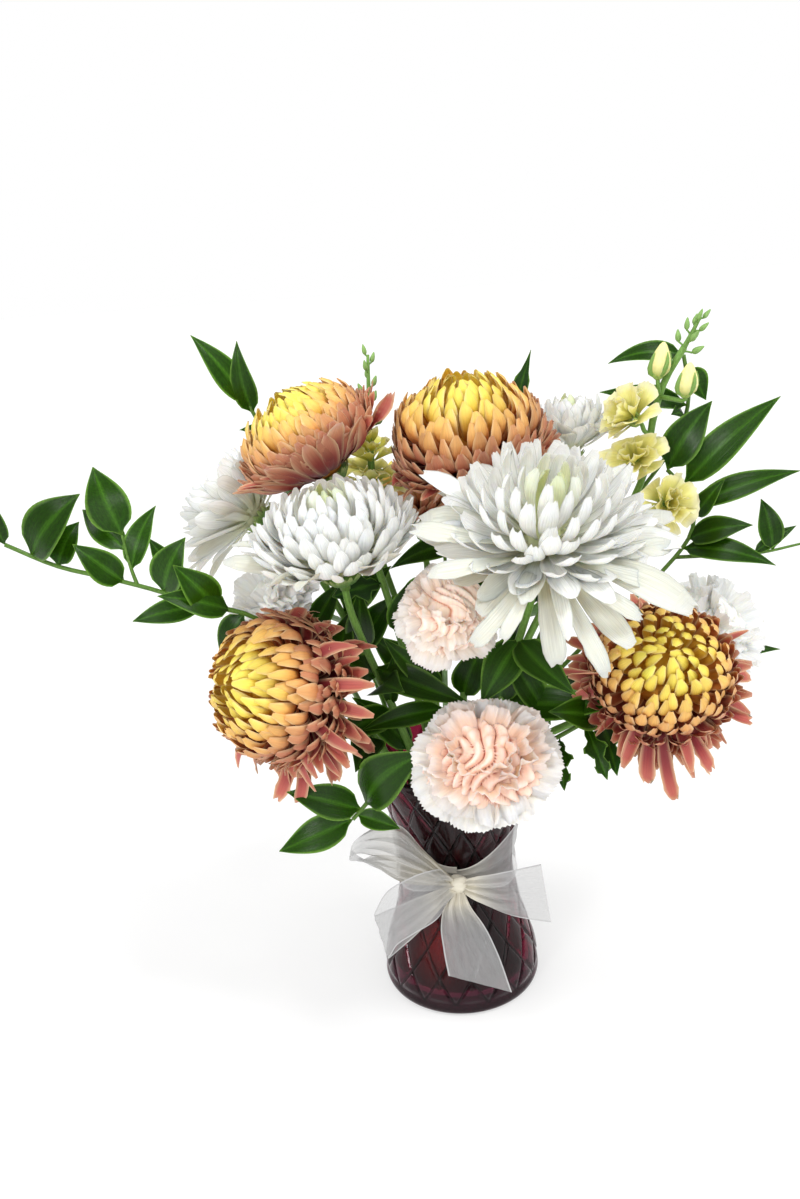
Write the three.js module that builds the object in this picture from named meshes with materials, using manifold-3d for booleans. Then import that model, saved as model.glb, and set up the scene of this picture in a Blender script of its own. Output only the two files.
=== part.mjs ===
// Chrysanthemums in a jar: a loose bunch of bronze and white chrysanthemums,
// carnations, stocks and ruscus, standing in water in a waisted glass vase
// that has a sheer ribbon tied round it.
// Millimetres, +Z up. The origin is the middle of the vase's flat foot, and the
// ribbon's knot is on the -Y side, which is the front.

import * as THREE from "three";
import { mergeVertices } from "three/addons/utils/BufferGeometryUtils.js";
import Module from "manifold-3d";

const wasm = await Module();
wasm.setup();

// ---------- Driving dimensions ----------

const GAP = 0.35; // clearance between pieces that rest against each other

// The vase: outer radius at each height, from the foot to the rim.
const VASE_HEIGHT = 155;
const FOOT_RADIUS = 50;
const WAIST_RADIUS = 34;
const RIM_RADIUS = 49;
const GLASS_WALL = 4;
const GLASS_FLOOR = 8;
const DIAMONDS_AROUND = 12;
const DIAMOND_RELIEF = 1.8;
const DIAMONDS_FROM = 18;
const DIAMONDS_TO = 150;
const DIAMOND_ROWS = 8; // half diamonds up the wall
const WATER_LEVEL = 112;

// The stems in the vase.
const STEM_FOOT = 11; // height of the cut ends
const WAIST_HEIGHT = 84;
const MUM_STEM = 2.7; // radii
const CARNATION_STEM = 2.1;
const STOCK_STEM = 2.5;
const RUSCUS_STEM = 1.5;
const STEM_SIDES = 5;

// Petals and leaves.
const PETAL_THICKNESS = 1.7; // at the midrib, thinning to the edge
const LEAF_THICKNESS = 1.3;
const CLEAR_OF_NEIGHBOUR = 0.3; // petals stop this short of the plane between two heads
const PRESSED_DEPTH = 14; // how far from that plane the pressure starts

// The ribbon.
const RIBBON_THICKNESS = 0.9;
const BAND_WIDTH = 30;

// ---------- Colours ----------

const ruby = new THREE.MeshStandardMaterial({ color: 0x4a1522, roughness: 0.1, metalness: 0 });
const waterClear = new THREE.MeshStandardMaterial({ color: 0xcfd8d6, roughness: 0.05, metalness: 0 });
const organza = new THREE.MeshStandardMaterial({ color: 0xeeeeea, roughness: 0.6, metalness: 0 });
const bronzePetal = new THREE.MeshStandardMaterial({ color: 0xd9975a, roughness: 0.7, metalness: 0 });
const whitePetal = new THREE.MeshStandardMaterial({ color: 0xf2f3ee, roughness: 0.7, metalness: 0 });
const blushPetal = new THREE.MeshStandardMaterial({ color: 0xf1dcd0, roughness: 0.75, metalness: 0 });
const peachPetal = new THREE.MeshStandardMaterial({ color: 0xf0cdb6, roughness: 0.75, metalness: 0 });
const primrosePetal = new THREE.MeshStandardMaterial({ color: 0xe9e3a4, roughness: 0.7, metalness: 0 });
const budGreen = new THREE.MeshStandardMaterial({ color: 0x8aa05a, roughness: 0.6, metalness: 0 });
const stemGreen = new THREE.MeshStandardMaterial({ color: 0x4f7a3a, roughness: 0.6, metalness: 0 });
const ruscusGreen = new THREE.MeshStandardMaterial({ color: 0x2f6b2a, roughness: 0.35, metalness: 0 });

// ---------- Small tools ----------

const DEGREE = Math.PI / 180;
const TURN = 2 * Math.PI;
const UP = new THREE.Vector3(0, 0, 1);
const TOWARDS_FRONT = [0, -0.8, 0.6];

const vec = (p) => new THREE.Vector3(...p);
const mix = (a, b, t) => a + (b - a) * t;

/** Repeatable small draws, so that every build grows the same flowers. */
function makeDraw(seed) {
  let state = seed;
  return (spread) => {
    state = (state * 16807) % 2147483647;
    return (state / 2147483647 - 0.5) * 2 * spread;
  };
}

/** A closed surface that is filled in point by point and face by face. */
class Surface {
  positions = [];
  faces = [];

  point(p) {
    this.positions.push(p.x, p.y, p.z);
    return this.positions.length / 3 - 1;
  }

  face(a, b, c) {
    this.faces.push(a, b, c);
  }

  quad(a, b, c, d) {
    this.face(a, b, c);
    this.face(a, c, d);
  }

  solid() {
    const sheet = new wasm.Mesh({
      numProp: 3,
      vertProperties: new Float32Array(this.positions),
      triVerts: new Uint32Array(this.faces),
    });
    return new wasm.Manifold(sheet);
  }
}

/** A closed three.js geometry as a solid. */
function solidOf(geometry) {
  const bare = geometry.clone();
  bare.deleteAttribute("normal");
  bare.deleteAttribute("uv");
  const merged = mergeVertices(bare, 1e-4);
  const sheet = new wasm.Mesh({
    numProp: 3,
    vertProperties: merged.attributes.position.array,
    triVerts: new Uint32Array(merged.index.array),
  });
  return new wasm.Manifold(sheet);
}

/** Joins solids into one and keeps its largest body. */
function fuse(solids, evenness = 0.06) {
  const joined = wasm.Manifold.union(solids).simplify(evenness);
  const bodies = joined.decompose();
  return bodies.reduce((a, b) => (a.volume() > b.volume() ? a : b));
}

const part = new THREE.Group();

/** Adds a solid to the arrangement as a named piece. */
function addPiece(name, solid, material) {
  const { vertProperties, triVerts } = solid.getMesh();
  const geometry = new THREE.BufferGeometry();
  geometry.setAttribute("position", new THREE.BufferAttribute(vertProperties, 3));
  geometry.setIndex(new THREE.BufferAttribute(triVerts, 1));
  geometry.computeVertexNormals();
  const mesh = new THREE.Mesh(geometry, material);
  mesh.name = name;
  part.add(mesh);
}

/** Axes of a piece that stands at a point and leans along an axis. */
function frameAt(base, axis) {
  const turn = new THREE.Quaternion().setFromUnitVectors(UP, vec(axis).normalize());
  const along = (x, y, z) => new THREE.Vector3(x, y, z).applyQuaternion(turn);
  const place = (x, y, z) => along(x, y, z).add(vec(base));
  return { along, place, turn, base: vec(base) };
}

/** Turns a lathed profile of [radius, height] pairs, standing in a frame. */
function turned(frame, profile, sides) {
  const points = profile.map(([r, h]) => new THREE.Vector2(r, h));
  const geometry = new THREE.LatheGeometry(points, sides);
  geometry.rotateX(Math.PI / 2);
  geometry.applyQuaternion(frame.turn);
  geometry.translate(frame.base.x, frame.base.y, frame.base.z);
  return solidOf(geometry);
}

// ---------- The vase and the water ----------

const VASE_PROFILE = new THREE.CatmullRomCurve3(
  [
    [FOOT_RADIUS - 1, 0],
    [FOOT_RADIUS - 3, 18],
    [38, 51],
    [WAIST_RADIUS, WAIST_HEIGHT],
    [38.7, 117],
    [RIM_RADIUS - 1, 150],
    [RIM_RADIUS, VASE_HEIGHT],
  ].map(([r, h]) => new THREE.Vector3(r, h, 0)),
);

/** Outer radius of the plain wall at a height. */
function wallRadius(height) {
  let low = 0;
  let high = 1;
  for (let step = 0; step < 30; step += 1) {
    const middle = (low + high) / 2;
    if (VASE_PROFILE.getPoint(middle).y < height) low = middle;
    else high = middle;
  }
  return VASE_PROFILE.getPoint(low).x;
}

const FACETS = 2 * DIAMONDS_AROUND;

/** Closes a stack of rings, each with FACETS radii, into a solid of revolution. */
function stackedRings(rings) {
  const surface = new Surface();
  const bottom = surface.point(new THREE.Vector3(0, 0, rings[0].height));
  const ids = rings.map(({ height, radii }) =>
    radii.map((radius, i) => {
      const angle = (i / FACETS) * TURN;
      const x = radius * Math.cos(angle);
      const y = radius * Math.sin(angle);
      return surface.point(new THREE.Vector3(x, y, height));
    }),
  );
  const top = surface.point(new THREE.Vector3(0, 0, rings[rings.length - 1].height));
  for (let i = 0; i < FACETS; i += 1) {
    const next = (i + 1) % FACETS;
    surface.face(bottom, ids[0][next], ids[0][i]);
    for (let ring = 0; ring + 1 < rings.length; ring += 1) {
      const [a, b] = [ids[ring][i], ids[ring][next]];
      const [d, c] = [ids[ring + 1][i], ids[ring + 1][next]];
      if ((i + (rings[ring].row ?? 0)) % 2 === 0) surface.quad(a, b, c, d);
      else surface.quad(b, c, d, a);
    }
    surface.face(top, ids[rings.length - 1][i], ids[rings.length - 1][next]);
  }
  return surface.solid();
}

const plainRing = (height, radius) => ({ height, radii: Array(FACETS).fill(radius) });

/** One level of the diamond net: groove crossings and raised middles in turn. */
function diamondRing(row) {
  const height = mix(DIAMONDS_FROM, DIAMONDS_TO, row / DIAMOND_ROWS);
  const edge = row === 0 || row === DIAMOND_ROWS;
  const radii = Array.from({ length: FACETS }, (_, i) => {
    const raised = (i + row) % 2 === 1 && !edge;
    return wallRadius(height) + (raised ? DIAMOND_RELIEF : 0);
  });
  return { height, radii, row };
}

const INNER_LEVELS = [132, 117, 100, 84, 55];
const innerRadius = (height) => wallRadius(height) - GLASS_WALL;

function makeVase() {
  const diamonds = Array.from({ length: DIAMOND_ROWS + 1 }, (_, row) => diamondRing(row));
  return stackedRings([
    plainRing(0, FOOT_RADIUS - 3),
    plainRing(3, FOOT_RADIUS),
    plainRing(12, FOOT_RADIUS - 0.8),
    ...diamonds,
    plainRing(VASE_HEIGHT - 1, RIM_RADIUS),
    plainRing(VASE_HEIGHT, RIM_RADIUS - 1),
    plainRing(VASE_HEIGHT, RIM_RADIUS - 3),
    plainRing(VASE_HEIGHT - 2, RIM_RADIUS - GLASS_WALL),
    ...INNER_LEVELS.map((height) => plainRing(height, innerRadius(height))),
    plainRing(GLASS_FLOOR, FOOT_RADIUS - 9),
  ]);
}

/** The water up to its level, pierced by the stems that stand in it. */
function makeWater(holes) {
  const levels = [WATER_LEVEL, ...INNER_LEVELS.filter((height) => height < WATER_LEVEL)];
  const sides = levels.reverse().map((height) => {
    const [above, below] = [117, 100];
    const radius =
      height === WATER_LEVEL
        ? mix(innerRadius(below), innerRadius(above), (height - below) / (above - below))
        : innerRadius(height);
    return plainRing(height, radius - GAP - 0.05);
  });
  const body = stackedRings([plainRing(GLASS_FLOOR + GAP, FOOT_RADIUS - 9 - GAP - 0.1), ...sides]);
  const pierced = body.subtract(wasm.Manifold.union(holes)).simplify(0.08);
  return pierced.decompose().reduce((a, b) => (a.volume() > b.volume() ? a : b));
}

// ---------- Stems ----------

const holes = [];

/**
 * A stem from its cut end in the water, through the waist and over the rim,
 * to the point that it carries. "slot" and "rim" are its places [x, y] in the
 * waist and at the rim.
 */
function stemCurve({ slot, rim, via = [], to }) {
  const foot = [slot[0] * 1.2, slot[1] * 1.2, STEM_FOOT];
  const waist = [slot[0], slot[1], WAIST_HEIGHT];
  const mouth = [rim[0], rim[1], VASE_HEIGHT + 1];
  const points = [foot, waist, mouth, ...via, to].map(vec);
  return new THREE.CatmullRomCurve3(points, false, "centripetal");
}

/** A round-ish bar along a curve. */
function bar(curve, radius, sides, steps) {
  const section = new THREE.Shape();
  for (let i = 0; i < sides; i += 1) {
    const angle = (i / sides) * TURN;
    const corner = [radius * Math.cos(angle), radius * Math.sin(angle)];
    if (i === 0) section.moveTo(...corner);
    else section.lineTo(...corner);
  }
  const geometry = new THREE.ExtrudeGeometry(section, { steps, extrudePath: curve });
  return geometry;
}

/** A stem's solid; its hole through the water is noted as well. */
function makeStem(route, radius, sides = STEM_SIDES, steps = 7) {
  const curve = stemCurve(route);
  const hole = bar(curve, radius + GAP + 0.1, sides, steps);
  const places = hole.attributes.position;
  for (let i = 0; i < places.count; i += 1) {
    if (places.getZ(i) < STEM_FOOT + radius) places.setZ(i, places.getZ(i) - GAP - 0.4);
  }
  holes.push(solidOf(hole));
  return { curve, solid: solidOf(bar(curve, radius, sides, steps)) };
}

// ---------- Blades: leaves and hanging petals ----------

/** A blade's width along its length, as [place, share of the full width]. */
const OVATE = [
  [0.02, 0.14],
  [0.3, 0.92],
  [0.64, 0.82],
];
const LOBED = [
  [0.02, 0.16],
  [0.3, 0.7],
  [0.44, 0.34],
  [0.64, 1],
];
const STRAP = [
  [0, 0.4],
  [0.4, 0.8],
  [0.82, 1],
];

/** A pointed blade along a curve, dished a little towards the side it faces. */
function blade(curve, width, { outline, facing, thickness, dish }) {
  const surface = new Surface();
  const rings = outline.map(([place, share]) => {
    const middle = curve.getPoint(place);
    const ahead = curve.getTangent(place);
    const side = ahead.clone().cross(vec(facing)).normalize();
    const face = side.clone().cross(ahead).normalize();
    const half = (share * width) / 2;
    const spread = (s, f) => middle.clone().addScaledVector(side, s).addScaledVector(face, f);
    return [
      surface.point(spread(half, half * dish)),
      surface.point(spread(0, thickness / 2)),
      surface.point(spread(-half, half * dish)),
      surface.point(spread(0, -thickness / 2)),
    ];
  });
  const point = surface.point(curve.getPoint(1));
  surface.quad(...rings[0]);
  for (let k = 0; k + 1 < rings.length; k += 1) {
    const [near, far] = [rings[k], rings[k + 1]];
    // Both faces are split alike, from the edge to the next midrib point.
    surface.quad(near[0], far[0], far[1], near[1]);
    surface.quad(near[2], near[1], far[1], far[2]);
    surface.quad(near[2], far[2], far[3], near[3]);
    surface.quad(near[0], near[3], far[3], far[0]);
  }
  const last = rings[rings.length - 1];
  for (let i = 0; i < 4; i += 1) surface.face(last[i], point, last[(i + 1) % 4]);
  return surface.solid();
}

/** A leaf from its root to its tip, arched towards the side it faces. */
function leaf(root, tip, width, { outline = OVATE, facing = TOWARDS_FRONT, arch = 0.08 } = {}) {
  const run = tip.clone().sub(root);
  const side = run.clone().cross(vec(facing));
  const face = side.cross(run).normalize();
  const bend = root.clone().add(tip).multiplyScalar(0.5);
  bend.addScaledVector(face, 2 * arch * run.length());
  const curve = new THREE.QuadraticBezierCurve3(root, bend, tip);
  return blade(curve, width, { outline, facing, thickness: LEAF_THICKNESS, dish: 0.16 });
}

/** The point of a curve nearest to a place, so that a leaf grows from its stem. */
function nearestOn(curve, place) {
  const samples = curve.getSpacedPoints(80);
  const target = vec(place);
  return samples.reduce((a, b) => (a.distanceTo(target) < b.distanceTo(target) ? a : b));
}

/** Grows leaves [root, tip, width, style] from a stem. */
function leavesOn(curve, leaves) {
  return leaves.map(([root, tip, width, style]) => leaf(nearestOn(curve, root), vec(tip), width, style));
}

// ---------- Flower heads ----------

/** The half-spaces that keep one head's petals out of its neighbours. */
function roomFor(own) {
  const planes = [];
  for (const other of HEADS) {
    if (other === own) continue;
    const apart = middleOf(other).sub(middleOf(own));
    const distance = apart.length();
    if (distance > own.reach + other.reach) continue;
    const share = (distance ** 2 + own.reach ** 2 - other.reach ** 2) / (2 * distance);
    const normal = apart.normalize();
    planes.push({ normal, limit: normal.dot(middleOf(own)) + share - CLEAR_OF_NEIGHBOUR });
  }
  return planes;
}

/** The middle of a head, halfway up its petals. */
function middleOf({ base, axis, kind, size = 1 }) {
  return vec(axis).normalize().multiplyScalar(kind.middle * size).add(vec(base));
}

/**
 * Presses a point back inside the head's room. The pressure starts some way
 * before the plane and never quite reaches it, so petals that lie over each
 * other stay in their order.
 */
function pressInside(point, planes) {
  for (const { normal, limit } of planes) {
    const from = limit - PRESSED_DEPTH;
    const over = point.dot(normal) - from;
    if (over <= 0) continue;
    const pressed = PRESSED_DEPTH * (1 - Math.exp(-over / PRESSED_DEPTH));
    point.addScaledVector(normal, pressed - over);
  }
  return point;
}

/**
 * The points of one petal: rings of left edge, upper midrib, right edge and
 * lower midrib, then its tips. It leaves the core at an elevation that turns
 * evenly from "rise" to "curl" along its length.
 */
function petalPoints(whorl, angle, length, tilt) {
  const cos = Math.cos(angle);
  const sin = Math.sin(angle);
  const rings = [];
  const tips = [];
  let out = whorl.root;
  let high = whorl.height;
  for (let step = 1; step <= PETAL_STEPS; step += 1) {
    const slope = (mix(whorl.rise, whorl.curl, (step - 0.5) / PETAL_STEPS) + tilt) * DEGREE;
    out += (length / PETAL_STEPS) * Math.cos(slope);
    high += (length / PETAL_STEPS) * Math.sin(slope);
    const [here, level] = [out, high];
    const sector = (Math.max(out, 1) * TURN * 0.9) / whorl.count;
    const half = Math.min(whorl.width, sector) / 2;
    const raised = (across, up, back = 0) => {
      const r = here - up * Math.sin(slope) - back * Math.cos(slope);
      const z = level + up * Math.cos(slope) - back * Math.sin(slope);
      return [r * cos - across * sin, r * sin + across * cos, z];
    };
    if (whorl.sections.includes(step)) {
      const edge = (whorl.cup * 2 * half) / whorl.width;
      const thick = whorl.thickness / 2;
      rings.push([raised(half, edge), raised(0, thick), raised(-half, edge), raised(0, -thick)]);
    }
    if (step < PETAL_STEPS) continue;
    const corner = half * 0.75;
    if (whorl.frill) {
      tips.push(raised(corner, whorl.frill), raised(0, -whorl.frill, 2), raised(-corner, whorl.frill));
    } else {
      tips.push(raised(0, whorl.cup * 0.4));
    }
  }
  return { rings, tips };
}

/** The faces of one petal, from the two notches beside it to its tip. */
function petalFaces(surface, right, left, rings, tips) {
  const [l, t, r, b] = rings[0];
  surface.face(right[0], t, left[0]);
  surface.face(right[0], r, t);
  surface.face(left[0], t, l);
  surface.face(right[1], left[1], b);
  surface.face(right[1], b, r);
  surface.face(left[1], l, b);
  surface.face(right[0], right[1], r);
  surface.face(left[1], left[0], l);
  for (let k = 0; k + 1 < rings.length; k += 1) {
    const [l0, t0, r0, b0] = rings[k];
    const [l1, t1, r1, b1] = rings[k + 1];
    surface.quad(r0, r1, t1, t0);
    surface.quad(l0, t0, t1, l1);
    surface.quad(r0, b0, b1, r1);
    surface.quad(l0, l1, b1, b0);
  }
  closePetal(surface, rings[rings.length - 1], tips);
}

/** Closes a petal at a single point, or at a frilled edge of three. */
function closePetal(surface, [l, t, r, b], tips) {
  if (tips.length === 1) {
    const [tip] = tips;
    surface.face(r, tip, t);
    surface.face(t, tip, l);
    surface.face(b, tip, r);
    surface.face(l, tip, b);
    return;
  }
  const [left, notch, right] = tips;
  surface.face(r, right, t);
  surface.face(t, right, notch);
  surface.face(t, notch, left);
  surface.face(t, left, l);
  surface.face(r, b, right);
  surface.face(b, notch, right);
  surface.face(b, left, notch);
  surface.face(b, l, left);
}

/** Closes the core between a lower and an upper ring of { id, angle } points. */
function zip(surface, lower, upper) {
  let [i, j] = [0, 0];
  const idOf = (ring, k) => ring[k % ring.length].id;
  const angleOf = (ring, k) => ring[k % ring.length].angle + TURN * Math.floor(k / ring.length);
  while (i < lower.length || j < upper.length) {
    const lowerNext = i < lower.length ? angleOf(lower, i + 1) : Infinity;
    const upperNext = j < upper.length ? angleOf(upper, j + 1) : Infinity;
    if (lowerNext <= upperNext) {
      surface.face(idOf(lower, i), idOf(lower, i + 1), idOf(upper, j));
      i += 1;
    } else {
      surface.face(idOf(lower, i), idOf(upper, j + 1), idOf(upper, j));
      j += 1;
    }
  }
}

const PETAL_STEPS = 12;
const SEAT_SIDES = 8;

/**
 * A head as one closed surface. From the flat seat upwards it follows the core
 * to the notches between the petals of a whorl, out round each petal and back,
 * and on to the next whorl, and it ends in the closed middle.
 */
function makeHead(head) {
  const { base, axis, kind, size = 1, straps = [] } = head;
  const frame = frameAt(base, axis);
  const room = roomFor(head);
  const draw = makeDraw(head.seed);
  const surface = new Surface();
  const put = ([x, y, z]) => surface.point(pressInside(frame.place(x, y, z), room));
  const ringAt = (count, turn, radius, height) =>
    Array.from({ length: count }, (_, i) => {
      const angle = ((i + turn) / count) * TURN;
      return { angle, id: put([radius * Math.cos(angle), radius * Math.sin(angle), height]) };
    });

  let lower = ringAt(SEAT_SIDES, 0, kind.seat * size, 0);
  const middle = put([0, 0, 0]);
  lower.forEach(({ id }, i) => surface.face(middle, lower[(i + 1) % SEAT_SIDES].id, id));
  for (const plan of kind.whorls) {
    const whorl = { ...plan };
    for (const measure of ["root", "height", "length", "width", "cup"]) whorl[measure] *= size;
    whorl.thickness = PETAL_THICKNESS * Math.min(size, 1);
    const thick = whorl.thickness / 2;
    const notches = [thick, -thick].map((h) => ringAt(whorl.count, 0, whorl.root, whorl.height + h));
    zip(surface, lower, notches[1]);
    for (let i = 0; i < whorl.count; i += 1) {
      const angle = ((i + 0.5) / whorl.count) * TURN;
      const length = whorl.length * (1 + draw(0.07));
      const tilt = draw(whorl.scatter ?? 3);
      const { rings, tips } = petalPoints(whorl, angle, length, tilt);
      const right = notches.map((ring) => ring[i].id);
      const left = notches.map((ring) => ring[(i + 1) % whorl.count].id);
      petalFaces(surface, right, left, rings.map((ring) => ring.map(put)), tips.map(put));
    }
    [lower] = notches;
  }
  const top = put([0, 0, kind.top * size]);
  lower.forEach(({ id }, i) => surface.face(top, id, lower[(i + 1) % lower.length].id));
  if (straps.length === 0) return surface.solid();
  return fuse([surface.solid(), ...straps.map((strap) => strapPetal(frame, size, strap))], 0.01);
}

/** A long outer petal [middle, tip, width] that hangs on its own. */
function strapPetal(frame, size, [middle, tip, width]) {
  const outward = vec(middle).sub(frame.base).projectOnPlane(frame.along(0, 0, 1)).normalize();
  const root = frame.place(0, 0, 6 * size).addScaledVector(outward, 6 * size);
  const curve = new THREE.QuadraticBezierCurve3(root, vec(middle), vec(tip));
  const facing = outward.clone().add(new THREE.Vector3(0, 0, 1)).toArray();
  return blade(curve, width, { outline: STRAP, facing, thickness: PETAL_THICKNESS, dish: 0.3 });
}

// A chrysanthemum that curves its petals in over the middle.
const INCURVED = {
  middle: 24,
  seat: 7,
  top: 34,
  whorls: [
    { count: 9, height: 5, root: 9.5, length: 35, rise: -2, curl: -18, width: 15, cup: 1.6, sections: [8] },
    { count: 10, height: 10, root: 10, length: 35, rise: 17, curl: 36, width: 14, cup: 2, sections: [8] },
    { count: 9, height: 15, root: 9.5, length: 32, rise: 38, curl: 80, width: 14, cup: 2.4, sections: [7] },
    { count: 7, height: 20, root: 8, length: 28, rise: 56, curl: 106, width: 13, cup: 2, sections: [7] },
    { count: 5, height: 25, root: 5.5, length: 22, rise: 68, curl: 112, width: 10, cup: 1.2, sections: [7] },
  ],
};

// A chrysanthemum that opens wide, its long outer petals arching down.
const OPEN = {
  middle: 22,
  seat: 7,
  top: 31,
  whorls: [
    { count: 11, height: 5, root: 9.5, length: 46, rise: 12, curl: -40, width: 12, cup: 1.6, sections: [5, 9] },
    { count: 12, height: 9.5, root: 10, length: 48, rise: 26, curl: 4, width: 12, cup: 2, sections: [7] },
    { count: 10, height: 14, root: 9.5, length: 42, rise: 42, curl: 50, width: 12, cup: 2.4, sections: [7] },
    { count: 8, height: 19, root: 8, length: 31, rise: 58, curl: 88, width: 11, cup: 2, sections: [7] },
    { count: 5, height: 24, root: 5.5, length: 20, rise: 70, curl: 108, width: 9, cup: 1.2, sections: [7] },
  ],
};

// A carnation: broad petals with frilled edges, crowded upright in the middle.
const CARNATION = {
  middle: 17,
  seat: 4.6,
  top: 24,
  whorls: [
    { count: 7, height: 4, root: 6, length: 30, rise: 14, curl: -4, width: 21, cup: 1, frill: 2.4, sections: [7] },
    { count: 7, height: 8, root: 6.5, length: 27, rise: 34, curl: 26, width: 19, cup: 1, frill: 2.4, sections: [7] },
    { count: 6, height: 12, root: 6, length: 23, rise: 54, curl: 54, width: 16, cup: 1, frill: 2, sections: [7] },
    { count: 5, height: 16, root: 4.6, length: 18, rise: 72, curl: 76, width: 12, cup: 0.8, frill: 1.2, sections: [7] },
  ],
};

// One double floret of a stock.
const FLORET = {
  middle: 9,
  seat: 2.8,
  top: 12,
  whorls: [
    { count: 5, height: 3, root: 3.4, length: 17, rise: 18, curl: 0, width: 16, cup: 1, frill: 1.8, sections: [7] },
    { count: 5, height: 7, root: 3.2, length: 13, rise: 52, curl: 46, width: 12, cup: 1, frill: 1.2, sections: [7] },
  ],
};

// A short column of such florets round a stem.
const FLORET_COLUMN = {
  middle: 19,
  seat: 4.2,
  top: 38,
  whorls: [
    { count: 5, height: 5, root: 4.4, length: 18, rise: 16, curl: -6, width: 18, cup: 1, frill: 2, sections: [7] },
    { count: 5, height: 15, root: 4.4, length: 16, rise: 24, curl: 10, width: 17, cup: 1, frill: 2, sections: [7] },
    { count: 5, height: 25, root: 4, length: 13, rise: 34, curl: 28, width: 14, cup: 1, frill: 1.6, sections: [7] },
    { count: 4, height: 34, root: 2.8, length: 9, rise: 50, curl: 54, width: 10, cup: 0.8, frill: 1, sections: [7] },
  ],
};

// ---------- Where each flower grows ----------

/** A place [x, y] at a radius and a bearing from +X, in degrees. */
const polar = (radius, bearing) => [radius * Math.cos(bearing * DEGREE), radius * Math.sin(bearing * DEGREE)];

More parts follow.
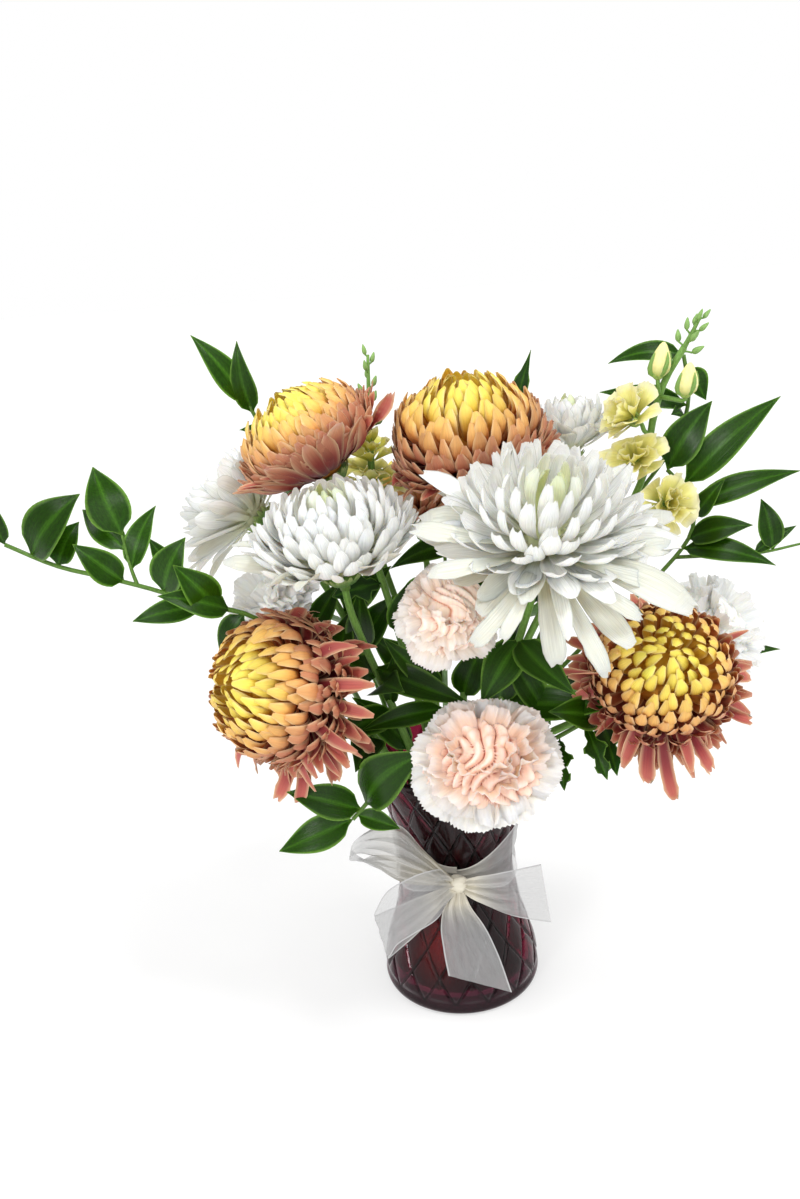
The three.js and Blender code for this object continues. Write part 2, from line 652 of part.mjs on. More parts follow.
const HEADS = [
  {
    name: "bronze_mum_upper_left", kind: INCURVED, material: bronzePetal, seed: 11, reach: 45,
    base: [-54, 5, 324], axis: [-0.47, -0.17, 0.87],
    straps: [[[-84, -18, 326], [-99, -24, 306], 9]],
    stem: { slot: polar(5.2, 200), rim: [-11, -2], radius: MUM_STEM },
  },
  {
    name: "bronze_mum_top", kind: INCURVED, material: bronzePetal, seed: 23, reach: 46, size: 1.03,
    base: [22, 18, 320], axis: [-0.1, -0.32, 0.94],
    stem: { slot: polar(5.2, 20), rim: [7, 5], radius: MUM_STEM },
  },
  {
    name: "bronze_mum_low_left", kind: INCURVED, material: bronzePetal, seed: 37, reach: 48, size: 1.08,
    base: [-68, -50, 220], axis: [-0.55, -0.74, 0.38],
    stem: { slot: polar(24.5, -142), rim: polar(41, -141), radius: MUM_STEM },
  },
  {
    name: "bronze_mum_right", kind: INCURVED, material: bronzePetal, seed: 41, reach: 45, size: 0.96,
    base: [114, -46, 214], axis: [-0.1, -0.8, 0.58],
    straps: [
      [[78, -66, 228], [57, -62, 229], 9],
      [[122, -90, 200], [124, -88, 172], 9],
    ],
    stem: { slot: polar(24.5, -22), rim: polar(41, -20), radius: MUM_STEM },
  },
  {
    name: "white_mum_front", kind: OPEN, material: whitePetal, seed: 53, reach: 60, size: 1.08,
    base: [48, -68, 294], axis: [0.1, -0.47, 0.88],
    straps: [
      [[54, -108, 290], [60, -102, 254], 9],
      [[78, -96, 285], [80, -90, 240], 9],
      [[14, -104, 300], [12, -102, 266], 9],
    ],
    stem: { slot: polar(15, -52), rim: [19, -22], radius: MUM_STEM },
  },
  {
    name: "white_mum_left", kind: INCURVED, material: whitePetal, seed: 61, reach: 46, size: 1.0,
    base: [-48, -45, 278], axis: [-0.3, -0.34, 0.89],
    stem: { slot: polar(15, -142), rim: [-21, -17], radius: MUM_STEM },
  },
  {
    name: "white_mum_far_left", kind: INCURVED, material: whitePetal, seed: 67, reach: 42, size: 0.92,
    base: [-110, 36, 300], axis: [-0.8, -0.2, 0.56],
    stem: { slot: polar(15, 158), rim: [-25, 10], radius: MUM_STEM },
  },
  {
    name: "white_mum_back_right", kind: INCURVED, material: whitePetal, seed: 71, reach: 32, size: 0.72,
    base: [90, 62, 318], axis: [0, -0.05, 1],
    stem: { slot: polar(15, 62), rim: [16, 24], radius: MUM_STEM },
  },
  {
    name: "carnation_blush", kind: CARNATION, material: blushPetal, seed: 73, reach: 28, size: 0.8,
    base: [0, -66, 260], axis: [0.05, -0.75, 0.66],
    stem: { slot: polar(15, -95), rim: [-2, -28], radius: CARNATION_STEM },
  },
  {
    name: "carnation_peach", kind: CARNATION, material: peachPetal, seed: 79, reach: 40, size: 1.16,
    base: [16, -86, 186], axis: [0.03, -0.78, 0.62],
    stem: { slot: polar(24.5, -76), rim: polar(36, -76), radius: CARNATION_STEM },
  },
  {
    name: "carnation_right", kind: CARNATION, material: whitePetal, seed: 83, reach: 30, size: 0.86,
    base: [150, 9, 220], axis: [0.7, -0.25, 0.67],
    stem: { slot: polar(24.5, 2), rim: polar(41, 4), radius: CARNATION_STEM },
  },
  {
    name: "carnation_left", kind: CARNATION, material: whitePetal, seed: 89, reach: 28, size: 0.78,
    base: [-94, 0, 250], axis: [-0.6, -0.3, 0.74],
    stem: { slot: polar(24.5, 170), rim: polar(41, 172), radius: CARNATION_STEM },
  },
  {
    name: "bronze_mum_back", kind: INCURVED, material: bronzePetal, seed: 97, reach: 42, size: 0.92,
    base: [-12, 76, 280], axis: [-0.15, 0.35, 0.92],
    stem: { slot: polar(15, 105), rim: [-7, 26], radius: MUM_STEM },
  },
  {
    name: "white_mum_back", kind: INCURVED, material: whitePetal, seed: 101, reach: 42, size: 0.92,
    base: [62, 96, 250], axis: [0.3, 0.62, 0.72],
    stem: { slot: polar(24.5, 62), rim: polar(40, 60), radius: MUM_STEM },
  },
  {
    name: "stock_yellow_florets", kind: FLORET_COLUMN, material: primrosePetal, seed: 107, reach: 25,
    base: [-38, 42, 308], axis: [0.02, 0.06, 1],
    stem: { slot: polar(5.2, 112), rim: [-4, 12], radius: STOCK_STEM },
  },
  {
    name: "stock_pale_floret_upper", kind: FLORET, material: primrosePetal, seed: 109, reach: 20,
    base: [118, 26, 344], axis: [-0.8, -0.3, 0.5], stalkGap: 0,
  },
  {
    name: "stock_pale_floret_lower", kind: FLORET, material: primrosePetal, seed: 113, reach: 20,
    base: [117, 22, 322], axis: [-0.4, -0.8, 0.5],
  },
  {
    name: "stock_pale_floret_front", kind: FLORET, material: primrosePetal, seed: 127, reach: 20,
    base: [128, 8, 299], axis: [0.25, -0.9, 0.35],
  },
];

// ---------- The green under each head ----------

/** The flared seat under a head, and a carnation's long calyx. */
function seatUnder({ base, axis, kind, size = 1 }, radius) {
  const frame = frameAt(base, axis);
  const rest = -GAP;
  if (kind === CARNATION) {
    const wide = 5.4 * size;
    const profile = [[0, -24], [radius + 0.6, -24], [wide, -16], [wide * 0.95, rest], [0, rest]];
    return turned(frame, profile, 7);
  }
  if (kind === FLORET_COLUMN) {
    return turned(frame, [[0, -8], [radius, -8], [4, rest], [0, rest]], 6);
  }
  const wide = 8.5 * size;
  return turned(frame, [[0, -8], [radius, -8], [wide, rest - 2], [wide, rest], [0, rest]], 8);
}

/** The stem that comes up behind a head and carries it. */
function stemUnder(head) {
  const { base, axis, kind, stem } = head;
  const back = vec(axis).normalize();
  const along = (distance) => vec(base).addScaledVector(back, -distance).toArray();
  const [end, approach] = kind === CARNATION ? [20, 34] : [4, 24];
  const route = { slot: stem.slot, rim: stem.rim, via: [...(stem.via ?? []), along(approach)], to: along(end) };
  return makeStem(route, stem.radius);
}

// Leaves on the flower stems: [root, tip, width, style].
const STEM_LEAVES = {
  bronze_mum_upper_left: [[[-36, 4, 262], [-62, -14, 262], 20, { outline: LOBED }]],
  bronze_mum_top: [
    [[14, 10, 250], [44, -14, 268], 20, { outline: LOBED }],
    [[20, 20, 296], [61, 56, 386], 15, { outline: LOBED, arch: -0.12 }],
  ],
  bronze_mum_low_left: [[[-44, -34, 180], [-52, -66, 178], 20, {}]],
  bronze_mum_right: [[[88, -26, 186], [90, -62, 166], 18, { outline: LOBED }]],
  white_mum_front: [
    [[38, -50, 236], [18, -60, 212], 22, {}],
    [[40, -52, 240], [66, -78, 222], 20, {}],
  ],
  white_mum_left: [[[-30, -30, 214], [-22, -72, 226], 22, {}]],
  white_mum_far_left: [[[-54, 24, 236], [-84, 40, 232], 20, { outline: LOBED, facing: [0, 0.8, 0.6] }]],
  white_mum_back_right: [[[48, 42, 236], [76, 30, 246], 20, { outline: LOBED }]],
  bronze_mum_back: [[[-10, 52, 226], [-32, 76, 212], 22, { outline: LOBED, facing: [0, 0.8, 0.6] }]],
  white_mum_back: [[[50, 76, 208], [80, 88, 206], 22, { outline: LOBED, facing: [0, 0.8, 0.6] }]],
  carnation_right: [[[130, 14, 203], [207, 30, 198], 15, { arch: 0 }]],
};

function makeGreens() {
  for (const head of HEADS) {
    if (!head.stem) continue;
    const { curve, solid } = stemUnder(head);
    const leaves = leavesOn(curve, STEM_LEAVES[head.name] ?? []);
    addPiece(`${head.name}_stem`, fuse([solid, seatUnder(head, head.stem.radius), ...leaves]), stemGreen);
  }
}

// ---------- Stock tips, buds and the pale stock's stem ----------

/** A pointed bud from its foot to its tip. */
function bud(foot, tip, radius, sides = 6) {
  const axis = vec(tip).sub(vec(foot));
  const length = axis.length();
  const frame = frameAt(foot, axis.toArray());
  const share = sides > 4 ? [[0, 0], [0.55, 0.1], [1, 0.4], [0.7, 0.75], [0, 1]] : [[0, 0], [1, 0.45], [0, 1]];
  return turned(frame, share.map(([r, h]) => [r * radius, h * length]), sides);
}

/** A green tip: a thin axis with small buds on every side of it. */
function budTip(foot, tip, count, spread) {
  const from = vec(foot);
  const run = vec(tip).sub(from);
  const frame = frameAt(foot, run.toArray());
  const solids = [turned(frame, [[0, 0], [1.8, 0], [1, run.length()], [0, run.length()]], 5)];
  for (let i = 0; i < count; i += 1) {
    const place = mix(0.12, 1, i / (count - 1));
    const reach = spread * (1.1 - 0.7 * place);
    const turn = i * 2.4;
    const root = run.length() * place;
    const inner = frame.place(0, 0, root - 1.5).toArray();
    const outer = frame.place(reach * Math.cos(turn), reach * Math.sin(turn), root + 6).toArray();
    solids.push(bud(inner, outer, 2.1, 4));
  }
  return fuse(solids);
}

function makeStocks() {
  addPiece("stock_yellow_tip", budTip([-37.2, 44.3, 346.5], [-35, 47, 390], 9, 8), budGreen);
  const route = {
    slot: polar(15, 25),
    rim: [25, 11],
    via: [[68, 24, 246], [110, 30, 288], [123, 31, 314], [127, 29, 344], [133, 27, 366]],
    to: [143, 25, 384],
  };
  const { curve, solid } = makeStem(route, STOCK_STEM, STEM_SIDES, 9);
  const branches = HEADS.filter((head) => !head.stem).map(({ base, axis, stalkGap = 2 * GAP }) => {
    const end = vec(base).addScaledVector(vec(axis).normalize(), -stalkGap);
    const from = nearestOn(curve, [base[0] - 2, base[1] + 4, base[2] - 8]);
    return bar(new THREE.LineCurve3(from, end), 1.6, 5, 1);
  });
  const budSeats = PALE_BUDS.map(({ foot }) => {
    const end = vec(foot).add(new THREE.Vector3(0, 0, -3 * GAP));
    return bar(new THREE.LineCurve3(nearestOn(curve, [foot[0] - 2, foot[1] + 3, foot[2] - 8]), end), 1.5, 5, 1);
  });
  const tip = budTip([142, 25, 382], [153, 26, 400], 8, 9);
  addPiece("stock_pale_stem", fuse([solid, tip, ...branches.map(solidOf), ...budSeats.map(solidOf)]), stemGreen);
  for (const { name, foot, top } of PALE_BUDS) addPiece(name, bud(foot, top, 6.2, 7), primrosePetal);
}

const PALE_BUDS = [
  { name: "stock_pale_bud_left", foot: [128, 22, 369], top: [131, 21, 388] },
  { name: "stock_pale_bud_right", foot: [141, 12, 359], top: [143, 10, 377] },
];

// ---------- Ruscus ----------

const BACKWARDS = [0, 0.8, 0.6];

const RUSCUS = [
  {
    name: "ruscus_left",
    route: {
      slot: polar(24.5, -167),
      rim: polar(41, -168),
      via: [[-74, -17, 216], [-104, -33, 259], [-132, -36, 269], [-156, -34, 278], [-182, -32, 286], [-210, -30, 294]],
      to: [-235, -32, 308],
    },
    twigs: [[[-163, -34, 279], [-168, -32, 290], [-171, -30, 309]]],
    leaves: [
      [[-224, -30, 299], [-188, -36, 334], 30],
      [[-209, -30, 293], [-196, -22, 316], 18],
      [[-236, -32, 308], [-240, -32, 336], 12],
      [[-172, -31, 300], [-196, -14, 321], 16],
      [[-171, -30, 308], [-185, -18, 345], 24],
      [[-174, -32, 283], [-195, -40, 308], 18],
      [[-168, -32, 290], [-153, -20, 322], 15],
      [[-150, -34, 276], [-134, -40, 308], 22],
      [[-126, -36, 268], [-140, -50, 296], 20],
      [[-114, -38, 263], [-150, -52, 280], 17],
      [[-128, -36, 268], [-168, -44, 264], 15],
      [[-108, -38, 260], [-126, -30, 236], 18],
      [[-140, -36, 273], [-162, -12, 302], 14],
    ],
  },
  {
    name: "ruscus_upper_left",
    route: {
      slot: polar(24.5, 146),
      rim: polar(41, 146),
      via: [[-74, 58, 270], [-92, 62, 320]],
      to: [-108, 46, 366],
    },
    leaves: [
      [[-108, 46, 366], [-136, 40, 408], 17],
      [[-106, 47, 363], [-110, 42, 403], 15],
      [[-102, 52, 348], [-114, 40, 352], 9],
      [[-84, 60, 296], [-112, 78, 318], 18, { facing: BACKWARDS }],
    ],
  },
  {
    name: "ruscus_low_left",
    route: { slot: polar(24.5, -112), rim: polar(41, -118), via: [[-40, -52, 162]], to: [-60, -62, 146] },
    leaves: [
      [[-54, -60, 151], [-95, -60, 159], 18],
      [[-60, -62, 146], [-104, -60, 122], 20],
      [[-50, -58, 154], [-20, -82, 193], 26],
      [[-58, -61, 148], [-34, -64, 138], 12],
    ],
  },
  {
    name: "ruscus_low_right",
    route: { slot: polar(24.5, -45), rim: polar(41, -43), via: [[60, -44, 182]], to: [82, -44, 194] },
    leaves: [
      [[82, -44, 194], [53, -66, 208], 20],
      [[74, -44, 190], [84, -66, 166], 13, { outline: LOBED }],
      [[60, -44, 182], [60, -72, 164], 13, { outline: LOBED }],
    ],
  },
  {
    name: "ruscus_right",
    route: {
      slot: polar(15, -8),
      rim: [26, -4],
      via: [[86, 10, 218], [128, 16, 254], [148, 18, 280], [147, 20, 300]],
      to: [134, 22, 316],
    },
    twigs: [[[138, 17, 266], [158, 12, 266], [183, 5, 268], [206, 2, 273]]],
    leaves: [
      [[134, 22, 315], [158, 20, 354], 22],
      [[144, 20, 304], [194, 14, 355], 20],
      [[149, 19, 293], [203, 2, 315], 16],
      [[148, 18, 286], [162, 4, 313], 12],
      [[143, 18, 274], [176, -4, 287], 17],
      [[141, 17, 271], [185, -18, 267], 16],
      [[190, 4, 269], [185, 12, 298], 15],
      [[178, 6, 268], [206, 12, 281], 8],
    ],
  },
  {
    name: "ruscus_upper_right",
    route: {
      slot: polar(24.5, 30),
      rim: polar(41, 32),
      via: [[80, 56, 240], [124, 70, 288], [148, 54, 330], [152, 48, 354]],
      to: [148, 46, 378],
    },
    leaves: [
      [[148, 46, 378], [104, 44, 376], 14],
      [[152, 49, 346], [99, 44, 360], 15],
      [[149, 46, 372], [160, 40, 352], 17],
      [[150, 52, 338], [138, 32, 346], 13],
    ],
  },
  {
    name: "ruscus_back",
    route: { slot: polar(24.5, 92), rim: polar(41, 92), via: [[2, 84, 214], [4, 118, 250]], to: [2, 138, 282] },
    leaves: [
      [[2, 138, 281], [10, 150, 322], 20, { facing: BACKWARDS }],
      [[4, 118, 250], [44, 132, 262], 20, { facing: BACKWARDS }],
      [[4, 124, 258], [-38, 134, 272], 20, { facing: BACKWARDS }],
      [[3, 100, 232], [-30, 118, 216], 18, { facing: BACKWARDS }],
      [[3, 96, 228], [34, 108, 214], 18, { facing: BACKWARDS }],
    ],
  },
];

function makeRuscus() {
  for (const { name, route, twigs = [], leaves } of RUSCUS) {
    const { curve, solid } = makeStem(route, RUSCUS_STEM, 4, route.via.length > 4 ? 11 : 8);
    const solids = [solid];
    const curves = [curve];
    for (const points of twigs) {
      const root = nearestOn(curve, points[0]);
      const twig = new THREE.CatmullRomCurve3([root, ...points.slice(1).map(vec)], false, "centripetal");
      curves.push(twig);
      solids.push(solidOf(bar(twig, RUSCUS_STEM * 0.85, 4, 4)));
    }
    for (const [place, tip, width, style] of leaves) {
      const roots = curves.map((one) => nearestOn(one, place));
      const root = roots.reduce((a, b) => (a.distanceTo(vec(place)) <= b.distanceTo(vec(place)) ? a : b));
      solids.push(leaf(root, vec(tip), width, style));
    }
    addPiece(name, fuse(solids), ruscusGreen);
  }
}

// ---------- The ribbon ----------

const KNOT = [0, -44.2, 88];
const FRONT_BEARING = -90;

/** Half the band's width at a bearing: gathered at the knot, full at the sides. */
function bandHalf(bearing) {
  const away = Math.abs(((bearing - FRONT_BEARING + 540) % 360) - 180);
  const open = Math.min(away / 60, 1);
  return mix(6, BAND_WIDTH / 2, open * open * (3 - 2 * open));
}

/** The band round the waist, following the glass a little clear of its diamonds. */
function makeBand() {
  const surface = new Surface();
  const clear = DIAMOND_RELIEF + GAP + 0.25;
  const rings = Array.from({ length: FACETS }, (_, i) => {
    const bearing = (i / FACETS) * 360;
    const half = bandHalf(bearing);
    const middle = KNOT[2];
    const corner = (height, thickness) => {
      const [x, y] = polar(wallRadius(height) + clear + thickness, bearing);
      return surface.point(new THREE.Vector3(x, y, height));
    };
    const levels = [middle - half, middle + half];
    return {
      inner: levels.map((height) => corner(height, 0)),
      outer: levels.map((height) => corner(height, RIBBON_THICKNESS)),
    };
  });
  rings.forEach(({ inner, outer }, i) => {
    const next = rings[(i + 1) % FACETS];
    surface.quad(outer[0], next.outer[0], next.outer[1], outer[1]);
    surface.quad(inner[0], inner[1], next.inner[1], next.inner[0]);
    surface.quad(outer[1], next.outer[1], next.inner[1], inner[1]);
    surface.quad(inner[0], next.inner[0], next.outer[0], outer[0]);
  });
  return surface.solid();
}

/** A strip of ribbon through [place, half of its width as a vector] pairs. */
function strip(stations) {
  const surface = new Surface();
  const centres = stations.map(([place]) => vec(place));
  const rings = stations.map(([, across], i) => {
    const ahead = centres[Math.min(i + 1, centres.length - 1)].clone().sub(centres[Math.max(i - 1, 0)]);
    const face = vec(across).cross(ahead).normalize().multiplyScalar(RIBBON_THICKNESS / 2);
    const edge = vec(across);
    const corner = (s, f) => centres[i].clone().addScaledVector(edge, s).addScaledVector(face, f);
    return [corner(1, 1), corner(1, -1), corner(-1, -1), corner(-1, 1)].map((p) => surface.point(p));
  });
  surface.quad(...rings[0].slice().reverse());
  rings.slice(1).forEach((far, i) => {
    for (let k = 0; k < 4; k += 1) {
      const next = (k + 1) % 4;
      surface.quad(rings[i][k], rings[i][next], far[next], far[k]);
    }
  });
  surface.quad(...rings[rings.length - 1]);
  return surface.solid();
}

function makeBow() {
  const knot = new THREE.SphereGeometry(1, 10, 6);
  knot.scale(7.5, 6, 8);
  knot.translate(...KNOT);
  const [x, y, z] = KNOT;
  const loopUpper = strip([
    [[x - 3, y - 2, z + 2], [0, 0, 4]],
    [[-24, -53, 99], [3, 0, 12]],
    [[-48, -52, 111], [5, 0, 16]],
    [[-61, -46, 115], [5, 0, 16]],
    [[-58, -41, 114], [5, 0, 16]],
    [[-44, -40, 110], [4, 0, 15]],
    [[-22, -42, 100], [2, 0, 10]],
    [[x - 3, y + 1, z + 2], [0, 0, 3.5]],
  ]);
  const loopLower = strip([
    [[x - 2, y - 2, z - 2], [-2, 0, 3.5]],
    [[-20, -56, 76], [-9, 0, 8]],
    [[-36, -58, 60], [-13, 0, 10]],
    [[-45, -53, 51], [-12, 0, 10]],
    [[-43, -48, 52], [-12, 0, 10]],
    [[-32, -47, 62], [-10, 0, 9]],
    [[-16, -46, 77], [-6, 0, 6]],
    [[x - 2, y + 1, z - 2], [-2, 0, 3]],
  ]);
  const tailRight = strip([
    [[x + 2, y, z], [0, 0, 4]],
    [[20, -50, 87], [0, 0, 10]],
    [[38, -49, 84], [1, 0, 15]],
    [[51, -46, 82], [2, 0, 18]],
  ]);
  const tailLower = strip([
    [[x, y - 1, z - 3], [4, 0, 0]],
    [[3, -53, 66], [10, 0, 2]],
    [[7, -56, 46], [15, 0, 3]],
    [[10, -58, 28], [19, 0, -4]],
  ]);
  return fuse([solidOf(knot), loopUpper, loopLower, tailRight, tailLower]);
}

// ---------- The arrangement ----------

for (const head of HEADS) addPiece(head.name, makeHead(head), head.material);
makeGreens();
makeStocks();
makeRuscus();
addPiece("glass_vase", makeVase(), ruby);
addPiece("water", makeWater(holes), waterClear);
addPiece("ribbon_band", makeBand(), organza);
addPiece("ribbon_bow", makeBow(), organza);

export default part;
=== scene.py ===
import math

import bpy
import numpy as np
from mathutils import Matrix, Vector


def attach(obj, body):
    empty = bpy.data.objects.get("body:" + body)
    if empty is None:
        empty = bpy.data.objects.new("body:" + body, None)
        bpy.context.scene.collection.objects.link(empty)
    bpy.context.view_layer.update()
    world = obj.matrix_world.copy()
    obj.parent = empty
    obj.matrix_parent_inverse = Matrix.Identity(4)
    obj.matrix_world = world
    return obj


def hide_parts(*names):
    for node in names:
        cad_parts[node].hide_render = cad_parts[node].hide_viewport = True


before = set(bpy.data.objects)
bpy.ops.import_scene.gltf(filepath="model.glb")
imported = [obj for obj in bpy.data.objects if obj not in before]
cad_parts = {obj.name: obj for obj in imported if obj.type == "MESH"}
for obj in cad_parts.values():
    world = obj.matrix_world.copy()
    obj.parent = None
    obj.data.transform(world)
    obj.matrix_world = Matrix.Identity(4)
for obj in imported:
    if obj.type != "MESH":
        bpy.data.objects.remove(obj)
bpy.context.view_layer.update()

# ---------- The camera ----------
# It stands close in front, a little above the blooms, and looks down on them with a slight
# tilt to the right, as the photograph was taken.

LONG_SIDE_PIXELS = 1199
FOCAL_PIXELS = 1000
SENSOR = 36
CAMERA_PLACE = (0, -0.553, 0.432)
PITCH, YAW, TILT = math.radians(17.85), math.radians(2.5), math.radians(4)

ahead = Vector((-math.sin(YAW) * math.cos(PITCH), math.cos(YAW) * math.cos(PITCH), -math.sin(PITCH)))
level_right = ahead.cross(Vector((0, 0, 1))).normalized()
level_up = level_right.cross(ahead)
camera_right = level_right * math.cos(TILT) - level_up * math.sin(TILT)
camera_up = level_up * math.cos(TILT) + level_right * math.sin(TILT)
camera = bpy.data.objects.new("camera", bpy.data.cameras.new("camera"))
camera.data.sensor_width = SENSOR
camera.data.lens = SENSOR * FOCAL_PIXELS / LONG_SIDE_PIXELS
turned = Matrix((camera_right, camera_up, -ahead)).transposed().to_4x4()
camera.matrix_world = Matrix.Translation(CAMERA_PLACE) @ turned
bpy.context.collection.objects.link(camera)
bpy.context.scene.camera = camera

# ---------- The table top and the studio light ----------
# A wide white table that runs out of sight. One soft key light from high on the right throws
# the shadow to the left, a weaker one on the left throws a faint one to the right, and the
# room round it is evenly white.


def node_adder(tree):
    """A function that adds a node, links or sets its inputs, and gives back its outputs."""

    def add(kind, inputs=None, **settings):
        node = tree.nodes.new("ShaderNode" + kind)
        for key, value in settings.items():
            setattr(node, key, value)
        for key, value in (inputs or {}).items():
            if isinstance(value, bpy.types.NodeSocket):
                tree.links.new(value, node.inputs[key])
            else:
                node.inputs[key].default_value = value
        return node.outputs

    return add


def made_finish(name, constants):
    """A new material with its shader's constants set, and the functions that add a node and
    that join one to the shader."""
    material = bpy.data.materials.new(name)
    material.use_nodes = True
    tree = material.node_tree
    shader = tree.nodes["Principled BSDF"]
    for key, value in constants.items():
        shader.inputs[key].default_value = value

    def join(source, target):
        tree.links.new(source, shader.inputs[target])

    return material, node_adder(tree), join


def table_finish():
    glow = {"Roughness": 0.7, "Specular IOR Level": 0.2, "Emission Color": (1, 1, 1, 1), "Emission Strength": 0.5}
    material, add, join = made_finish("white_table", glow)
    cloudy = add("TexNoise", {"Scale": 3.0, "Detail": 3.0})["Fac"]
    tones = add("MapRange", {"Value": cloudy, "To Min": 0.42, "To Max": 0.435})[0]
    join(add("CombineColor", {0: tones, 1: tones, 2: tones})[0], "Base Color")
    return material


TABLE_SIDE, TABLE_FRONT, TABLE_BACK = 12, -4, 30
table_mesh = bpy.data.meshes.new("table_top")
near_edge = [(-TABLE_SIDE, TABLE_FRONT, 0), (TABLE_SIDE, TABLE_FRONT, 0)]
far_edge = [(TABLE_SIDE, TABLE_BACK, 0), (-TABLE_SIDE, TABLE_BACK, 0)]
table_mesh.from_pydata(near_edge + far_edge, [], [(0, 1, 2, 3)])
table_mesh.materials.append(table_finish())
table_top = bpy.data.objects.new("table_top", table_mesh)
bpy.context.collection.objects.link(table_top)


def soft_sun(name, towards, strength, spread):
    """An even light that shines along a direction, soft by the angle it is spread over."""
    lamp = bpy.data.lights.new(name, "SUN")
    lamp.energy, lamp.angle = strength, math.radians(spread)
    holder = bpy.data.objects.new(name, lamp)
    holder.rotation_mode = "QUATERNION"
    holder.rotation_quaternion = Vector(towards).to_track_quat("-Z", "Y")
    holder.location = (0, 0, 1.5)
    bpy.context.collection.objects.link(holder)


soft_sun("key_light", (-0.55, 0.3, -1), 1.45, 17)
soft_sun("left_light", (0.62, 0.22, -1), 0.75, 20)
soft_sun("front_light", (-0.15, 1, -0.4), 0.5, 40)
soft_sun("window_light", (0.5, 0.8, -0.28), 0.9, 12)

# The room is white to the eye, a little darker as a light, and darker still where it mirrors.
room = bpy.data.worlds.new("white_room")
room.use_nodes = True
bpy.context.scene.world = room
room_light = room.node_tree.nodes["Background"]
room_light.inputs["Color"].default_value = (1, 1, 1, 1)
add_to_room = node_adder(room.node_tree)
rays = add_to_room("LightPath")
brightness = add_to_room("MapRange", {"Value": rays["Is Camera Ray"], "To Min": 0.86, "To Max": 1.0})[0]
mirrored = add_to_room("Math", {0: rays["Is Glossy Ray"], 1: 0.5}, operation="MULTIPLY")[0]
dimmed = add_to_room("Math", {0: brightness, 1: mirrored}, operation="SUBTRACT")[0]
room.node_tree.links.new(dimmed, room_light.inputs["Strength"])
bpy.context.scene.view_settings.view_transform = "Standard"

# ---------- The glass vase ----------
# A waisted florist's vase in dark ruby pressed glass. The mould gave it a net of pillowed
# diamonds with sharp grooves between them, above a smooth foot band, and a plain fused rim.

MM = 0.001
RIM_RADIUS = 49.0
GLASS_WALL = 4.0
GLASS_FLOOR = 8.0
DIAMONDS_AROUND = 15
DIAMOND_TALL = 33.0
DIAMONDS_FROM, DIAMONDS_TO = 7.0, 150.0
VASE_COLUMNS = 36 * DIAMONDS_AROUND
VASE_HEIGHTS = np.array([0.0, 18, 51, 84, 117, 150, 155])
VASE_RADII = np.array([49.0, 47, 38, 34, 38.7, 48, 49])


def eased(value):
    value = np.clip(value, 0, 1)
    return value * value * (3 - 2 * value)


def smooth_between(knots, values, place):
    """A smooth line through the values at the knots."""
    slopes = np.gradient(values, knots)
    k = np.clip(np.searchsorted(knots, place, side="right") - 1, 0, len(knots) - 2)
    span = knots[k + 1] - knots[k]
    t = np.clip((place - knots[k]) / span, 0, 1)
    line = (1 + 2 * t) * (1 - t) ** 2 * values[k] + t * (1 - t) ** 2 * span * slopes[k]
    return line + t * t * (3 - 2 * t) * values[k + 1] - t * t * (1 - t) * span * slopes[k + 1]


def wall_radius(height):
    """Outer radius of the plain wall at a height."""
    return smooth_between(VASE_HEIGHTS, VASE_RADII, height)


def lay_out(name, parts, finishes, replaced=(), slot=None):
    """One mesh object from parts in millimetres. A part has points and quads, and may have
    shades, a spread of it laid flat, which finish it takes, and which points are on its rim."""
    counts = [len(part["points"]) for part in parts]
    starts = np.cumsum([0, *counts])

    def gathered(key, missing, *shape):
        spread = [np.broadcast_to(part.get(key, missing), (count, *shape)) for part, count in zip(parts, counts)]
        return np.concatenate(spread)

    points, shades = gathered("points", 0, 3), gathered("shades", 1, 3)
    flats, rims = gathered("flat", 0, 2), gathered("rim", False)
    quads = np.concatenate([part["quads"] + start for part, start in zip(parts, starts)])
    takes = np.repeat([part.get("finish", 0) for part in parts], [len(part["quads"]) for part in parts])
    mesh = bpy.data.meshes.new(name)
    mesh.from_pydata((points * MM).tolist(), [], quads.tolist())
    for finish in finishes:
        mesh.materials.append(finish)
    mesh.polygons.foreach_set("material_index", takes.astype(np.int32))
    mesh.polygons.foreach_set("use_smooth", np.ones(len(quads), bool))
    corners = np.empty(len(mesh.loops), np.int32)
    mesh.loops.foreach_get("vertex_index", corners)
    mesh.uv_layers.new(name="laid_flat").data.foreach_set("uv", flats[corners].ravel().astype(np.float32))
    shade = mesh.color_attributes.new("shade", "FLOAT_COLOR", "POINT")
    shade.data.foreach_set("color", np.c_[shades, np.ones(len(shades))].ravel().astype(np.float32))
    ends = np.empty(2 * len(mesh.edges), np.int32)
    mesh.edges.foreach_get("vertices", ends)
    sharp = rims[ends].reshape(-1, 2).all(axis=1)
    mesh.attributes.new("sharp_edge", "BOOLEAN", "EDGE").data.foreach_set("value", sharp)
    mesh.update()
    piece = bpy.data.objects.new(name, mesh)
    bpy.context.collection.objects.link(piece)
    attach(piece, "root")
    if replaced:
        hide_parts(*replaced)
    return piece


def grid_quads(rows, columns, round_it=False):
    """Quads of a grid of points, row by row, closed round its columns if round_it."""
    i, j = np.meshgrid(np.arange(rows - 1), np.arange(columns - (0 if round_it else 1)), indexing="ij")
    after = (j + 1) % columns
    corners = [i * columns + j, i * columns + after, (i + 1) * columns + after, (i + 1) * columns + j]
    return np.stack(corners, axis=-1).reshape(-1, 4)


def closed_quads(rows, columns):
    """Quads of a tube of rings, with rungs of quads across its first and its last ring."""
    k = np.arange(columns // 2 - 1)
    rungs = np.stack([k, k + 1, columns - 2 - k, columns - 1 - k], -1)
    return np.concatenate([grid_quads(rows, columns, True), rungs[:, ::-1], rungs + (rows - 1) * columns])


